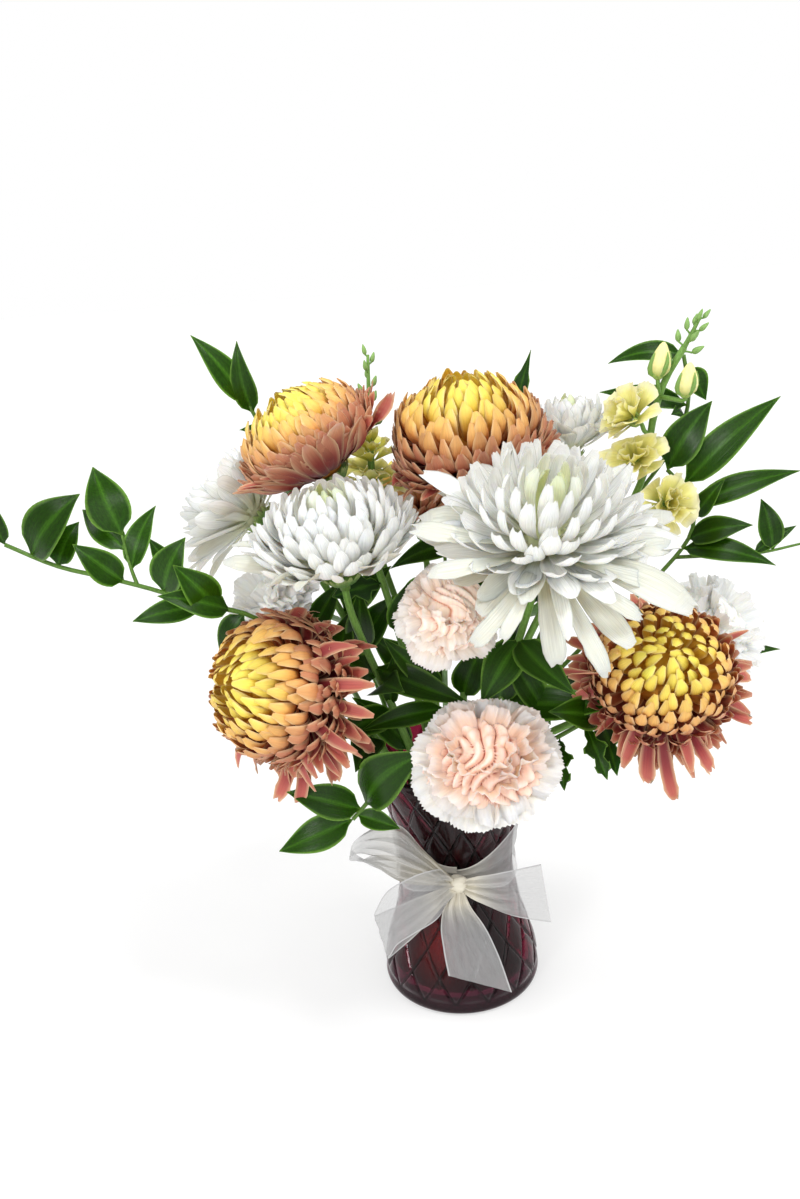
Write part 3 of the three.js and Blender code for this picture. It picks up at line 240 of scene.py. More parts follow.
def turned_wall(rings, columns):
    """A closed shape of rings [height, radius, or one radius for each column]."""
    angles = np.arange(columns) / columns * 2 * math.pi
    rows = [np.broadcast_arrays(radius * np.cos(angles), radius * np.sin(angles), height) for height, radius in rings]
    return {"points": np.concatenate([np.stack(row, -1) for row in rows]), "quads": closed_quads(len(rings), columns)}


def diamond_net(around, height):
    """Distance to the nearest groove of the net, and the distance from groove to facet middle."""
    up = (height - DIAMONDS_FROM) / DIAMOND_TALL
    wide = 2 * math.pi * wall_radius(height) / DIAMONDS_AROUND
    square_on = wide * DIAMOND_TALL / np.hypot(wide, DIAMOND_TALL)
    nearest = np.minimum(*(np.abs((around + s * up + 0.5) % 1 - 0.5) for s in (1, -1))) * square_on
    return nearest, 0.5 * square_on


def diamond_relief(height):
    """How far the glass stands out round one level of the diamond net."""
    nearest, middle = diamond_net(np.arange(VASE_COLUMNS) / VASE_COLUMNS * DIAMONDS_AROUND, height)
    groove = np.minimum(nearest / 1.45, 1)
    pillow = 1 - (1 - np.minimum(nearest / middle, 1)) ** 2
    fade = eased((height - DIAMONDS_FROM) / 5) * eased((DIAMONDS_TO - height) / 4)
    return (1.25 * groove + 0.6 * pillow) * fade - 0.25 * fade + 0.3 * (1 - fade)


def tinted(add, strength):
    """The colour that lies in the mesh, times a strength."""
    laid = add("VertexColor", layer_name="shade")["Color"]
    mixed = {"Factor": 1.0, "A": laid, "B": strength}
    return add("Mix", mixed, data_type="RGBA", blend_type="MULTIPLY")["Result"]


def glass_finish():
    material, add, join = made_finish("ruby_glass", {"Roughness": 0.02, "IOR": 1.32, "Transmission Weight": 0.95})
    waves = add("TexNoise", {"Scale": 60.0, "Detail": 2.0})["Fac"]
    depth = add("MapRange", {"Value": waves, "To Min": 0.75, "To Max": 1.0})[0]
    join(tinted(add, depth), "Base Color")
    join(add("Bump", {"Height": waves, "Strength": 0.12, "Distance": 0.001})[0], "Normal")
    return material


vase_rings = [(0.9, 43.0), (0.4, 45.2), (0, 46.5), (0.5, 47.6), (1.8, 49.0), (4, 49.5), (6, wall_radius(6.0) + 0.8)]
vase_rings += [(h, wall_radius(h) + diamond_relief(h)) for h in np.arange(7.5, 152, 0.85)]
vase_rings += [(h, RIM_RADIUS - step) for h, step in ((153, 0.2), (154.3, 0.3), (155, 1.4), (154.8, 2.8), (153.4, 3.6))]
vase_rings += [(h, wall_radius(h) - GLASS_WALL) for h in np.arange(150, 12, -3.0)]
vase_rings += [(9.5, 41.5), (GLASS_FLOOR + 0.3, 38.5), (GLASS_FLOOR, 34.0)]
vase_wall = turned_wall(vase_rings, VASE_COLUMNS)

# The glass is darkest at the foot. The outer grooves carry painted shade, each facet a painted
# tone for the light it mirrors, and low on the left a painted red glow stands for light coming through.
RUBY_FOOT, RUBY_BODY, RUBY_PAINTED_GLOW = np.array([(0.13, 0.018, 0.05), (0.13, 0.008, 0.024), (0.95, 0.012, 0.02)])
x, y, z = vase_wall["points"].T
bearing = np.arctan2(y, x)
around = bearing / (2 * math.pi) * DIAMONDS_AROUND
up = (z - DIAMONDS_FROM) / DIAMOND_TALL
groove_painted_shade = 1 - eased(diamond_net(around, z)[0] / 1.1 - 0.15)
outside = (np.hypot(x, y) > wall_radius(z) - 1.5) & (z > DIAMONDS_FROM)
up_the_wall = eased((z - 6) / 22)[:, None]
# A painted red glow low on the left, where light would come through the glass.
glow = (np.exp(-(((np.degrees(bearing) + 112) / 17) ** 2) - ((z - 42) / 17) ** 2))[:, None]
# Painted reflection: a tone at random for each facet, standing for the different light each one mirrors.
facet = np.floor(around + up) * 7 + np.floor(around - up) * 13
depth = 0.7 + 0.5 * (np.sin(facet * 2.4) + 1)[:, None] * up_the_wall
ruby = RUBY_FOOT * (1 - up_the_wall) + RUBY_BODY * up_the_wall * depth
ruby = ruby * (1 - glow) + RUBY_PAINTED_GLOW * glow
# Painted shade in the outer grooves of the diamond net.
vase_wall["shades"] = ruby * (1 - 0.88 * (groove_painted_shade * outside)[:, None])
lay_out("pressed_glass_vase", [vase_wall], [glass_finish()], ["glass_vase"], "ruby_glass")

# ---------- The water ----------
# Clear water a little above the waist, with the lip that it draws up against the glass.

WATER_LEVEL = 112.0
WATER_GAP = 0.35


def water_finish():
    clear = {"Base Color": (0.86, 0.9, 0.88, 1), "Roughness": 0.02, "IOR": 1.33, "Transmission Weight": 1.0}
    material, add, join = made_finish("still_water", clear)
    ripple = add("TexNoise", {"Scale": 35.0, "Detail": 1.0})["Fac"]
    join(add("Bump", {"Height": ripple, "Strength": 0.05, "Distance": 0.001})[0], "Normal")
    return material


water_rings = [(GLASS_FLOOR + WATER_GAP, 33.0), (GLASS_FLOOR + 0.7, 38.0), (10.2, 41.0)]
water_rings += [(h, wall_radius(h) - GLASS_WALL - WATER_GAP) for h in np.arange(15, 111, 4.0)]
lip = wall_radius(WATER_LEVEL) - GLASS_WALL - WATER_GAP
water_rings += [(WATER_LEVEL, lip), (WATER_LEVEL - 0.9, lip - 1.2), (WATER_LEVEL - 1.4, lip - 4)]
lay_out("water_in_vase", [turned_wall(water_rings, 96)], [water_finish()], ["water"], "water")

# ---------- The chrysanthemums ----------
# Large disbudded blooms. Each is a closed pile of thin cupped petals that all grow from one
# small seat: the inner ones stand up and curl over the middle, the outer ones spread and hang.

GOLDEN_ANGLE = math.radians(137.508)
UP = np.array([0, 0, 1.0])


def linear(*steps):
    """A colour or several, given in steps of 0 to 255, as the light that it gives back."""
    value = np.array(steps) / 255
    return np.where(value <= 0.04045, value / 12.92, ((value + 0.055) / 1.055) ** 2.4)


def blend(a, b, share):
    return a + (b - a) * np.asarray(share)[..., None]


def plant_skin(name, gloss, glow, veins=0.0, ribs=0.0, bump=0.3):
    """Skin whose colour lies in the mesh, with fine lines along it and a soft inner glow: a
    petal's with its veins, or a green one with ribs and a mottle."""
    constants = {"Roughness": gloss, "Subsurface Weight": glow, "Specular IOR Level": 0.18 if ribs else 0.3}
    constants["Subsurface Radius"] = (0.4, 0.8, 0.2) if ribs else (1.0, 0.7, 0.4)
    constants["Subsurface Scale"] = 0.0015 if ribs else 0.002
    material, add, join = made_finish(name, constants)
    laid = add("UVMap", uv_map="laid_flat")[0]
    drawn_out = add("Mapping", {"Vector": laid, "Scale": (ribs, 0.6, 1.0) if ribs else (9.0, 0.7, 1.0)})[0]
    line = add("TexNoise", {"Vector": drawn_out, "Scale": 1.0 if ribs else 1.6, "Detail": 3.0})["Fac"]
    strength = {"Value": line, "From Min": 0.3, "From Max": 0.7, "To Min": 1 - 0.16 * veins, "To Max": 1.05}
    if ribs:
        mottle = add("TexNoise", {"Scale": 140.0, "Detail": 3.0})["Fac"]
        both = add("Math", {0: line, 1: mottle}, operation="ADD")[0]
        strength = {"Value": both, "From Min": 0.7, "From Max": 1.3, "To Min": 0.6, "To Max": 1.3}
    join(tinted(add, add("MapRange", strength)[0]), "Base Color")
    ridge = {"Height": line, "Strength": bump if ribs else 0.25 * veins, "Distance": 0.0006}
    join(add("Bump", ridge)[0], "Normal")
    return material


def petal_parts(lines, width, cup, shade, thickness=0.5, columns=7, ruffle=0, teeth=0):
    """Thin closed petals along their lines [midrib, ahead, side, inward], curved across by the
    half angle cup. All arrays go petal, row. shade(along, across, inner) gives the colours,
    ruffle lifts and teeth lengthen."""
    mid, ahead_of, side, inward = (line[:, :, None] for line in lines)
    count, rows = width.shape
    across = np.linspace(-1, 1, columns)
    across = np.sin(across * math.pi / 2) if columns == 7 else across
    along = np.linspace(0, 1, rows)
    bow = np.broadcast_to(np.where(np.abs(cup) < 0.05, 0.05, cup), width.shape)[..., None]
    angle = bow * across
    radius = (width[..., None] / 2) / bow
    skin = mid + side * (radius * np.sin(angle))[..., None] + inward * (radius * (1 - np.cos(angle)))[..., None]
    normal = inward * np.cos(angle)[..., None] - side * np.sin(angle)[..., None]
    skin = skin + normal * np.broadcast_to(ruffle, angle.shape)[..., None]
    skin = skin + ahead_of * np.broadcast_to(teeth, angle.shape)[..., None]
    edge = np.sqrt(np.clip(1 - across**2, 0, 1)) * np.sqrt(np.sin(math.pi * along) + 0.02)[:, None]
    inside = np.zeros((rows, columns), bool)
    inside[1:-1, 1:-1] = True
    near = np.where(inside, thickness / 2 * edge, 0)[..., None]
    outer = (skin - normal * near).reshape(count, -1, 3)
    inner = (skin + normal * near)[:, 1:-1, 1:-1].reshape(count, -1, 3)
    numbers = np.arange(rows * columns).reshape(rows, columns)
    numbers[inside] = rows * columns + np.arange(inside.sum())
    quads = grid_quads(rows, columns)
    both = np.concatenate([quads, numbers.ravel()[quads][:, ::-1]])
    per_petal = rows * columns + inside.sum()
    up, over = np.meshgrid(along, across, indexing="ij")
    shades = [shade(up.ravel(), over.ravel(), False), shade(up[inside], over[inside], True)]
    shades = [np.broadcast_to(face, (count, *face.shape[-2:])) for face in shades]
    flat = [np.stack([over.ravel(), up.ravel() * 2], -1), np.stack([over[inside] + 5, up[inside] * 2], -1)]
    flat = np.concatenate(flat)[None] + (np.arange(count) * 1.37)[:, None, None] * np.array([3.0, 1.0])
    return {
        "points": np.concatenate([outer, inner], axis=1).reshape(-1, 3),
        "quads": (both[None] + np.arange(count)[:, None, None] * per_petal).reshape(-1, 4),
        "shades": np.concatenate(shades, axis=1).reshape(-1, 3),
        "flat": flat.reshape(-1, 2),
        "rim": np.tile(np.concatenate([~inside.ravel(), np.zeros(inside.sum(), bool)]), count),
    }


def curve_through(controls, rows, crowd_tip=0.85):
    """Points and directions along cubic curves [petal, 4, 3], closer together towards the tips."""
    t = np.linspace(0, 1, rows) ** crowd_tip
    weight = np.stack([(1 - t) ** 3, 3 * t * (1 - t) ** 2, 3 * t * t * (1 - t), t**3])
    slope = np.stack([-3 * (1 - t) ** 2, 3 * (1 - t) ** 2 - 6 * t * (1 - t), 6 * t * (1 - t) - 3 * t * t, 3 * t * t])
    mid, run = (np.einsum("kr,nkc->nrc", share, controls) for share in (weight, slope))
    return mid, run / np.linalg.norm(run, axis=-1, keepdims=True)


def whorl(around, flat, rows, crowd_tip=0.85, squash=1):
    """Petals that leave the middle at these bearings along flat curves [out, up]: their midribs,
    which way these run, and which way lies beside them."""
    level = np.zeros(len(around))
    out = np.stack([np.cos(around), np.sin(around) * squash, level], -1)
    mid, run = curve_through(flat[..., :1] * out[:, None] + flat[..., 1:] * UP, rows, crowd_tip)
    return mid, run, np.broadcast_to(np.stack([-np.sin(around), np.cos(around), level], -1)[:, None], mid.shape)


def rolled(run, side, roll):
    """The two axes across a petal, side and inward, turned about its midrib."""
    inward, c, s = np.cross(run, side), np.cos(roll)[..., None], np.sin(roll)[..., None]
    return side * c + inward * s, inward * c - side * s


def petal_outline(rows, root=0.32, widest=0.72, blunt=0.22, crowd_tip=0.85):
    """Share of a petal's full width at each row: narrow root, broad shoulder, rounded tip."""
    t = np.linspace(0, 1, rows) ** crowd_tip
    rising = root + (1 - root) * eased(t / widest)
    falling = np.sqrt(np.clip(1 - ((t - widest) / (1 - widest)) ** 2, 0, 1))
    return np.maximum(np.where(t < widest, rising, falling), np.where(t < 0.5, rising, blunt))


# Sizes of each way of growing, in millimetres and degrees. The dome is the surface that the
# tips lie on. Inner petals curl over the middle by incurl; from "loose" outwards they let go.
INCURVED_BRONZE = dict(
    count=300, dome=43.5, centre=3.0, lowest=100, crowd=0.6, narrow=7.6, broad=9.6, incurl=(92, 46), splay=(42, 14),
    hold=0.46, loose=0.76, drop=14, reach=1.1, cup=(0.25, 0.9), blunt=0.3, height=1.0, ragged=0.06,
)
CLOSED_BRONZE = dict(INCURVED_BRONZE, crowd=0.64, incurl=(94, 54), splay=(52, 18), hold=0.56, narrow=8.2, broad=9.4)
SKIRT_BRONZE = dict(
    INCURVED_BRONZE, count=38, lowest=106, above=84, dome=49.0, narrow=8.0, broad=8.5, loose=0, splay=(-4, -4),
    drop=24, reach=1.05,
)
INCURVED_WHITE = dict(
    count=165, dome=43.0, centre=3.0, lowest=96, crowd=0.7, narrow=6.0, broad=10.5, incurl=(70, 40), splay=(30, 8),
    hold=0.42, loose=0.84, drop=14, reach=1.14, cup=(0.3, 0.75), blunt=0.3, height=0.9, ragged=0.08,
)
FANNED_WHITE = dict(INCURVED_WHITE, count=110, incurl=(50, 8), splay=(18, 2), broad=12.5, loose=0.7, cup=(0.3, 0.6))
OPEN_WHITE = dict(
    count=112, dome=53.0, centre=4.0, lowest=78, crowd=0.66, narrow=6.5, broad=14.5, incurl=(52, 24), splay=(14, -12),
    hold=0.4, loose=0.72, drop=18, reach=1.1, cup=(0.35, 0.85), blunt=0.46, height=0.92, ragged=0.09,
)
SKIRT_WHITE = dict(
    OPEN_WHITE, count=13, lowest=90, above=76, dome=57.0, narrow=12.0, broad=12.5, splay=(-4, -4), loose=0, drop=8,
    reach=1.04,
)

# How petals grow in each kind of chrysanthemum.
WAYS = {
    "bronze": [INCURVED_BRONZE], "closed": [CLOSED_BRONZE, SKIRT_BRONZE], "white": [INCURVED_WHITE],
    "fanned": [FANNED_WHITE], "open": [OPEN_WHITE, SKIRT_WHITE],
}


def placed(kind, name, base, axis, reach, size, seed, **more):
    return dict(more, kind=kind, name=name, base=base, axis=axis, reach=reach, size=size, seed=seed)


# Where each bloom sits and looks. Straps are its loose outer petals, [middle, tip, width].
BRONZE_MUMS = [
    placed("bronze", "bronze_mum_upper_left", (-58, 5, 329), (-0.47, -0.17, 0.87), 49, 1.12, 11,
           lowest=72, riper=1.15,
           straps=[((-84, -18, 322), (-97, -24, 298), 9), ((-32, -8, 350), (-21, -8, 373), 8.5)]),
    placed("bronze", "bronze_mum_top", (21, 18, 325), (-0.08, -0.26, 0.95), 52, 1.18, 23, lowest=90, riper=1.35),
    placed("closed", "bronze_mum_low_left", (-82, -48, 222), (-0.6, -0.7, 0.38), 48, 1.04, 37, riper=1.6,
           straps=[((-81, -66, 188), (-97, -62, 162), 9), ((-75, -70, 184), (-85, -66, 161), 8),
                   ((-62, -70, 192), (-64, -62, 171), 10), ((-52, -66, 200), (-42, -56, 186), 8),
                   ((-54, -62, 210), (-48, -50, 205), 9), ((-58, -56, 226), (-53, -46, 242), 9)]),
    placed("closed", "bronze_mum_right", (116, -44, 214), (-0.06, -0.76, 0.62), 45, 0.98, 41, riper=1.3,
           straps=[((78, -66, 228), (57, -62, 229), 9), ((108, -84, 186), (117, -80, 160), 8),
                   ((101, -80, 188), (104, -74, 168), 9), ((98, -74, 194), (92, -66, 178), 8),
                   ((128, -80, 190), (138, -72, 172), 9), ((146, -72, 202), (160, -64, 196), 9)]),
    placed("bronze", "bronze_mum_back", (-12, 76, 280), (-0.15, 0.35, 0.92), 42, 0.92, 97),
]
WHITE_MUMS = [
    placed("open", "white_mum_front", (51, -63, 293), (0.1, -0.48, 0.87), 60, 1.06, 53,
           straps=[((48, -122, 284), (52, -116, 255), 12), ((60, -124, 283), (75, -118, 249), 9.5),
                   ((34, -122, 288), (13, -112, 265), 10), ((70, -122, 291), (91, -114, 275), 9.5),
                   ((77, -118, 299), (106, -100, 285), 9.5), ((23, -116, 305), (-5, -104, 299), 10.5),
                   ((20, -104, 314), (-12, -92, 318), 11), ((39, -126, 291), (26, -124, 272), 7),
                   ((84, -104, 302), (112, -84, 301), 10)]),
    placed("white", "white_mum_left", (-52, -45, 285), (-0.1, -0.2, 0.95), 49, 1.2, 61, lowest=72),
    placed("fanned", "white_mum_far_left", (-106, 34, 298), (-0.8, 0.22, 0.56), 46, 1.08, 67, lowest=84),
    placed("fanned", "white_mum_back_right", (84, 62, 322), (0, 0.05, 1), 34, 0.84, 71, lowest=72),
    placed("white", "white_mum_back", (62, 96, 250), (0.3, 0.62, 0.72), 42, 0.92, 101),
]
CARNATIONS = [
    placed("carnation", "carnation_blush", (2, -66, 264), (0.05, -0.75, 0.66), 28, 0.8, 73),
    placed("carnation", "carnation_peach", (17, -86, 189), (0.03, -0.7, 0.71), 40, 1.12, 79, squash=0.82),
    placed("carnation", "carnation_right", (152, 8, 218), (0.62, -0.42, 0.66), 34, 1.02, 83),
    placed("carnation", "carnation_left", (-94, 0, 250), (-0.6, -0.3, 0.74), 30, 0.86, 89),
]
STOCK_FLORETS = [
    placed("column", "stock_yellow_florets", (-38, 42, 308), (0.02, 0.06, 1), 25, 1.0, 107),
    placed("floret", "stock_pale_floret_upper", (118, 26, 344), (-0.8, -0.3, 0.5), 22, 1.22, 109),
    placed("floret", "stock_pale_floret_lower", (117, 22, 322), (-0.4, -0.8, 0.5), 22, 1.22, 113),
    placed("floret", "stock_pale_floret_front", (128, 8, 299), (0.25, -0.9, 0.35), 22, 1.12, 127),
]
# How high over its base the middle of a bloom lies; 24 for the closed chrysanthemums.
MIDDLE_HEIGHTS = {"open": 22, "carnation": 17, "column": 19, "floret": 9}
ALL_BLOOMS = BRONZE_MUMS + WHITE_MUMS + CARNATIONS + STOCK_FLORETS


def axes_along(axis):
    """Columns that turn X, Y and Z so that Z points along an axis."""
    return np.array(Vector((0, 0, 1)).rotation_difference(Vector(axis).normalized()).to_matrix())


def bloom_middle(bloom):
    up = axes_along(bloom["axis"])[:, 2]
    return np.array(bloom["base"]) + up * MIDDLE_HEIGHTS.get(bloom["kind"], 24) * bloom["size"]


def placed_on(bloom, part):
    part["points"] = part["points"] @ axes_along(bloom["axis"]).T + bloom["base"]
    return part


def turned_to(bloom, mid, *ways):
    """Midribs, moved and turned to where the bloom sits, and the ways that go with them."""
    axes = axes_along(bloom["axis"]).T
    return mid @ axes + bloom["base"], *(way @ axes for way in ways)


def pressed(points, bloom, depth=12.0, clear=0.4):
    """Petals give way where the next bloom leans on them, and never quite reach its side."""
    for other in ALL_BLOOMS:
        apart = bloom_middle(other) - bloom_middle(bloom)
        distance = np.linalg.norm(apart)
        if other is bloom or distance > bloom["reach"] + other["reach"]:
            continue
        share = (distance**2 + bloom["reach"] ** 2 - other["reach"] ** 2) / (2 * distance)
        normal = apart / distance
        limit = normal @ bloom_middle(bloom) + share - clear
        over = np.maximum(points @ normal - (limit - depth), 0)
        points = points + ((depth * (1 - np.exp(-over / depth)) - over)[..., None]) * normal
    return points


def strap_petals(bloom, colour, draw, rows=14):
    """Long loose petals that hang from the seat through a middle to a tip, placed one by one."""
    middle, tip = (np.array([strap[k] for strap in bloom["straps"]], float) for k in (0, 1))
    axis, count = axes_along(bloom["axis"])[:, 2], len(tip)
    out = middle - bloom["base"]
    out = out - axis * (out @ axis)[:, None]
    out /= np.linalg.norm(out, axis=1, keepdims=True)
    root = bloom["base"] + axis * 5 * bloom["size"] + out * 4 * bloom["size"]
    controls = np.stack([root, root + (middle - root) * 0.67, tip + (middle - tip) * 0.67, tip], axis=1)
    mid, run = curve_through(controls, rows)
    side = np.cross((out + UP)[:, None], run)
    side /= np.linalg.norm(side, axis=-1, keepdims=True)
    width = np.array([[strap[2]] for strap in bloom["straps"]]) * petal_outline(rows, 0.45, 0.84, 0.5)
    # Coloured as the outermost petals, which on white blooms means the painted shade of the lowest ones.
    shade = colour(np.full(count, 0.97), draw.normal(0, 0.5, count))
    ruffle = 0.5 * draw.normal(0, 1, (count, rows, 1)) * np.linspace(-1, 1, 7) ** 2
    teeth = draw.normal(0, 1, (count, 1, 7)) * (np.linspace(0, 1, rows)[:, None] > 0.99)
    return petal_parts((mid, run, side, np.cross(run, side)), width, 0.5, shade, ruffle=ruffle, teeth=teeth)


def grown_petals(bloom, colour, draw, count, dome, centre, lowest, crowd, narrow, broad, incurl, splay, hold,
                 loose, drop, reach, cup, blunt, height, ragged, above=0, rows=10):
    """Golden-angle petals from the middle of a bloom outwards, each from the seat to the dome."""
    size, lowest = bloom["size"], bloom.get("lowest", lowest)
    place = (np.arange(count) + 0.5) / count
    around = np.arange(count) * GOLDEN_ANGLE + draw.normal(0, 0.07, count)
    tip_angle = np.radians(above + (lowest - above) * place**crowd) + draw.normal(0, 0.025, count)
    free = eased((place - loose) / (1 - loose)) if loose else np.ones(count)
    far = dome * (1 + (reach - 1) * free) * (1 + draw.normal(0, ragged, count) * (0.4 + free))
    flatten = 1 - (1 - height) * np.cos(tip_angle) ** 2
    tip = np.stack([far * np.sin(tip_angle), centre + far * flatten * np.cos(tip_angle)], -1)
    root = np.stack([1.5 + 5.5 * place, 12 - 9 * place], -1)
    length = np.linalg.norm(tip - root, axis=-1)[:, None]
    opened = eased(place / 0.85)
    spread = np.radians(np.interp(opened, (0, 0.08, 1), (4, *splay)))
    first = np.clip(tip_angle + spread, 0, math.radians(104)) + draw.normal(0, 0.05, count)
    curl = np.radians(np.interp(opened, (0, 1), incurl)) * (1 - 0.3 * (1 - eased(place / 0.2)))
    last = tip_angle - curl * (1 - free) + math.radians(drop) * free * (0.4 + 0.6 * np.sin(tip_angle))
    last = last + draw.normal(0, 0.12, count) * (0.6 + free)
    leaves, arrives = (np.stack([np.sin(angle), np.cos(angle)], -1) for angle in (first, last))
    flat = np.stack([root, root + leaves * (0.4 * length), tip - arrives * (hold * length), tip], axis=1)
    mid, run, side = whorl(around, flat * size, rows)
    along = np.linspace(0, 1, rows)
    roll = draw.normal(0, 0.2, count)[:, None] * (0.3 + along) * (1 + free[:, None])
    full = narrow + (broad - narrow) * np.sqrt(place)
    width = (full * size * (1 + draw.normal(0, 0.1, count)))[:, None] * petal_outline(rows, 0.3, 0.78, blunt)
    bent = (cup[0] + (cup[1] - cup[0]) * eased(along / 0.9)) * (1 + draw.normal(0, 0.14, count))[:, None]
    bent = bent * (1 - 0.35 * free[:, None]) * (1 + 0.25 * (1 - place[:, None]))
    ripe = 0.9 + 0.1 * place if above else np.minimum(place * bloom.get("riper", 1), 1)
    shade = colour(ripe, draw.normal(0, 1, count))
    teeth = 0.6 * size * draw.normal(0, 1, (count, 1, 7)) * (along[:, None] > 0.99) * (blunt > 0.45)
    return petal_parts(turned_to(bloom, mid, run, *rolled(run, side, roll)), width, bent, shade, teeth=teeth)


def packed_heart(bloom, full, tones):
    """The closed mass of inner petals that the outer ones stand round: one cushion."""
    angles = np.radians([58, 50, 42, 32, 22, 12, 2])
    rings = [(0.3, 5.5), (3.0, 8.5), *((4 + full * math.cos(a), full * math.sin(a)) for a in angles)]
    core = turned_wall(rings, 24)
    core["shades"] = blend(*tones, np.repeat(np.interp(np.arange(len(rings)), (0, 3, len(rings) - 1), (0, 0.3, 1)), 24))
    core["points"] *= bloom["size"]
    return placed_on(bloom, core)


BRONZE_STEPS = linear(
    ((228, 168, 36), (248, 206, 64), (252, 228, 96)), ((176, 58, 40), (220, 126, 66), (240, 184, 102)),
    ((108, 26, 36), (152, 58, 54), (200, 128, 98)), ((98, 18, 32), (132, 34, 44), (178, 84, 80)),
)
CREAM = linear(252, 226, 176)


def bronze_colour(place, tones):
    """Yellow at the middle through gold and peach to a dusky pink; each petal runs from a
    crimson root to a pale golden tip with a cream edge, and its inner face is wine red."""
    warm, dusky = eased((place - 0.04) / 0.3), eased((place - 0.3) / 0.4)

    def shade(along, across, inner):
        centre, mid_way, outermost, within = BRONZE_STEPS
        rise, end = eased((along - 0.08) / 0.5), eased((along - 0.52) / 0.42)
        steps = [blend(blend(a, b, warm), c, dusky)[:, None] for a, b, c in zip(centre, mid_way, outermost)]
        colour = blend(blend(steps[0], steps[1], rise), steps[2], end)
        if inner:
            wine = blend(blend(within[0], within[1], rise), within[2], end)
            colour = blend(colour, wine, 0.1 + 0.75 * eased((place - 0.3) / 0.5)[:, None])
        colour = blend(colour, CREAM, 0.6 * np.abs(across) ** 5 * (0.3 + 0.7 * eased(along / 0.6)))
        return np.clip(colour * (1 + 0.06 * tones)[:, None, None], 0, 0.97)

    return shade


WHITE_STEPS = linear((222, 224, 184), (250, 250, 245), (212, 213, 202), (170, 174, 160), (220, 232, 150))


def white_colour(place, tones):
    """White with a creamy green root, a green-yellow tinge in the middle of the bloom, painted
    shade as a greyer cream on the petals that hang lowest, and a painted grey line of shade along each petal's edge."""
    root, body, hanging_painted_shade, rim, green = WHITE_STEPS

    def shade(along, across, inner):
        # The lowest, hanging petals take painted shade, a greyer cream.
        colour = blend(root, blend(body, hanging_painted_shade, eased((place - 0.86) / 0.1))[:, None], eased(along / 0.5))
        colour = blend(colour, green, 0.75 * (1 - eased(place / 0.08))[:, None])
        # Painted shade: a grey line along each petal's edge.
        colour = blend(colour, rim, 0.7 * (np.abs(across) > 0.98) * eased(along / 0.3))
        return np.clip(colour * (1 + 0.02 * tones)[:, None, None], 0, 0.96)

    return shade


HEART_RADII = {"open": 17.0, "fanned": 23.0 * 0.8}
BRONZE_HEART = linear((214, 132, 54), (242, 196, 64))
WHITE_HEART = linear((206, 208, 176), (222, 228, 164))
BRONZE = (bronze_colour, plant_skin("bronze_petal_skin", 0.5, 0.2, veins=1.3), "bronze_petals", BRONZE_HEART)
WHITE = (white_colour, plant_skin("white_petal_skin", 0.42, 0.4, veins=1.5), "white_petals", WHITE_HEART)
for bloom in BRONZE_MUMS + WHITE_MUMS:
    kind = bloom["kind"]
    colour, skin, slot, heart = BRONZE if kind in ("bronze", "closed") else WHITE
    draw = np.random.default_rng(bloom["seed"])
    parts = [grown_petals(bloom, colour, draw, **grown) for grown in WAYS[kind]]
    for part in parts:
        part["points"] = pressed(part["points"], bloom)
    if "straps" in bloom:
        parts.append(strap_petals(bloom, colour, draw))
    parts.append(packed_heart(bloom, HEART_RADII.get(kind, 23.0), heart))
    lay_out(bloom["name"] + "_petals", parts, [skin], [bloom["name"]], slot)

# ---------- The carnations ----------
# Each has broad fan-shaped petals with pinked, ruffled edges: flat guard petals outside, and
# inside them petals crumpled upright. The largest is peach with white edges.

# Of each ring: its petals, their root, rise, length and spread, the height and number of their
# waves, how much they curl and cup, and the length of their teeth.
CARNATION_RINGS = [
    (7, (3, 3), 0, 34, 30, 1.5, 2.4, -8, 0.2, 0.5),
    (7, (3, 6), 14, 32, 27, 2.0, 2.6, -10, 0.3, 0.5),
    (8, (3, 7), 28, 30, 22, 2.2, 2.2, 8, 0.4, 0.35),
    (7, (2.5, 8), 44, 28, 16, 1.6, 1.8, 26, 0.5, 0.2),
]


def crumpled_heart(bloom, colours, wide=27.5, tall=18.0):
    """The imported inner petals: one rounded cushion thrown into winding folds."""
    draw = np.random.default_rng(bloom["seed"] + 1)
    a, b, c, d = draw.uniform(0, 2 * math.pi, 4)
    rows, columns = 58, 168
    slope = np.linspace(-0.5, 1, rows)[:, None] * math.pi / 2
    turn = np.arange(columns)[None] / columns * 2 * math.pi
    out = np.cos(slope)
    u, v = wide * (1 - slope * 2 / math.pi) * np.cos(turn), wide * (1 - slope * 2 / math.pi) * np.sin(turn)
    winding = u * 0.56 + 3.0 * np.sin(v * 0.17 + a) + 1.7 * np.sin(u * 0.15 - v * 0.11 + b)
    winding = winding + 0.8 * np.sin(v * 0.41 + u * 0.2 + c)
    crossing = v * 0.46 + 2.6 * np.sin(u * 0.19 + d) + 1.2 * np.sin(v * 0.16 + u * 0.14 + a)
    fold = np.abs(np.sin(winding)) ** 0.6 * (0.5 + 0.5 * np.abs(np.sin(crossing)) ** 0.45)
    stand = 1 + (fold - 0.7) * 0.2
    points = [wide * out * np.cos(turn) * stand, wide * out * np.sin(turn) * stand, 5 + tall * np.sin(slope) * stand]
    points = np.stack(points, -1)
    points[..., 1] *= bloom.get("squash", 1)
    _, _, heart, _, deep = colours
    # Painted shade down in the folds: the deep colour fills the hollows of the crumple.
    shades = blend(deep, heart, eased((fold - 0.1) / 0.34))
    # A painted highlight along the crests of the folds.
    shades = blend(shades, heart * 0.5 + 0.46, 0.6 * eased((fold - 0.72) / 0.25))
    flat = np.stack([u, v], -1).reshape(-1, 2) / 12
    core = {"points": points.reshape(-1, 3) * bloom["size"], "shades": shades.reshape(-1, 3), "flat": flat}
    return placed_on(bloom, dict(core, quads=closed_quads(rows, columns)))


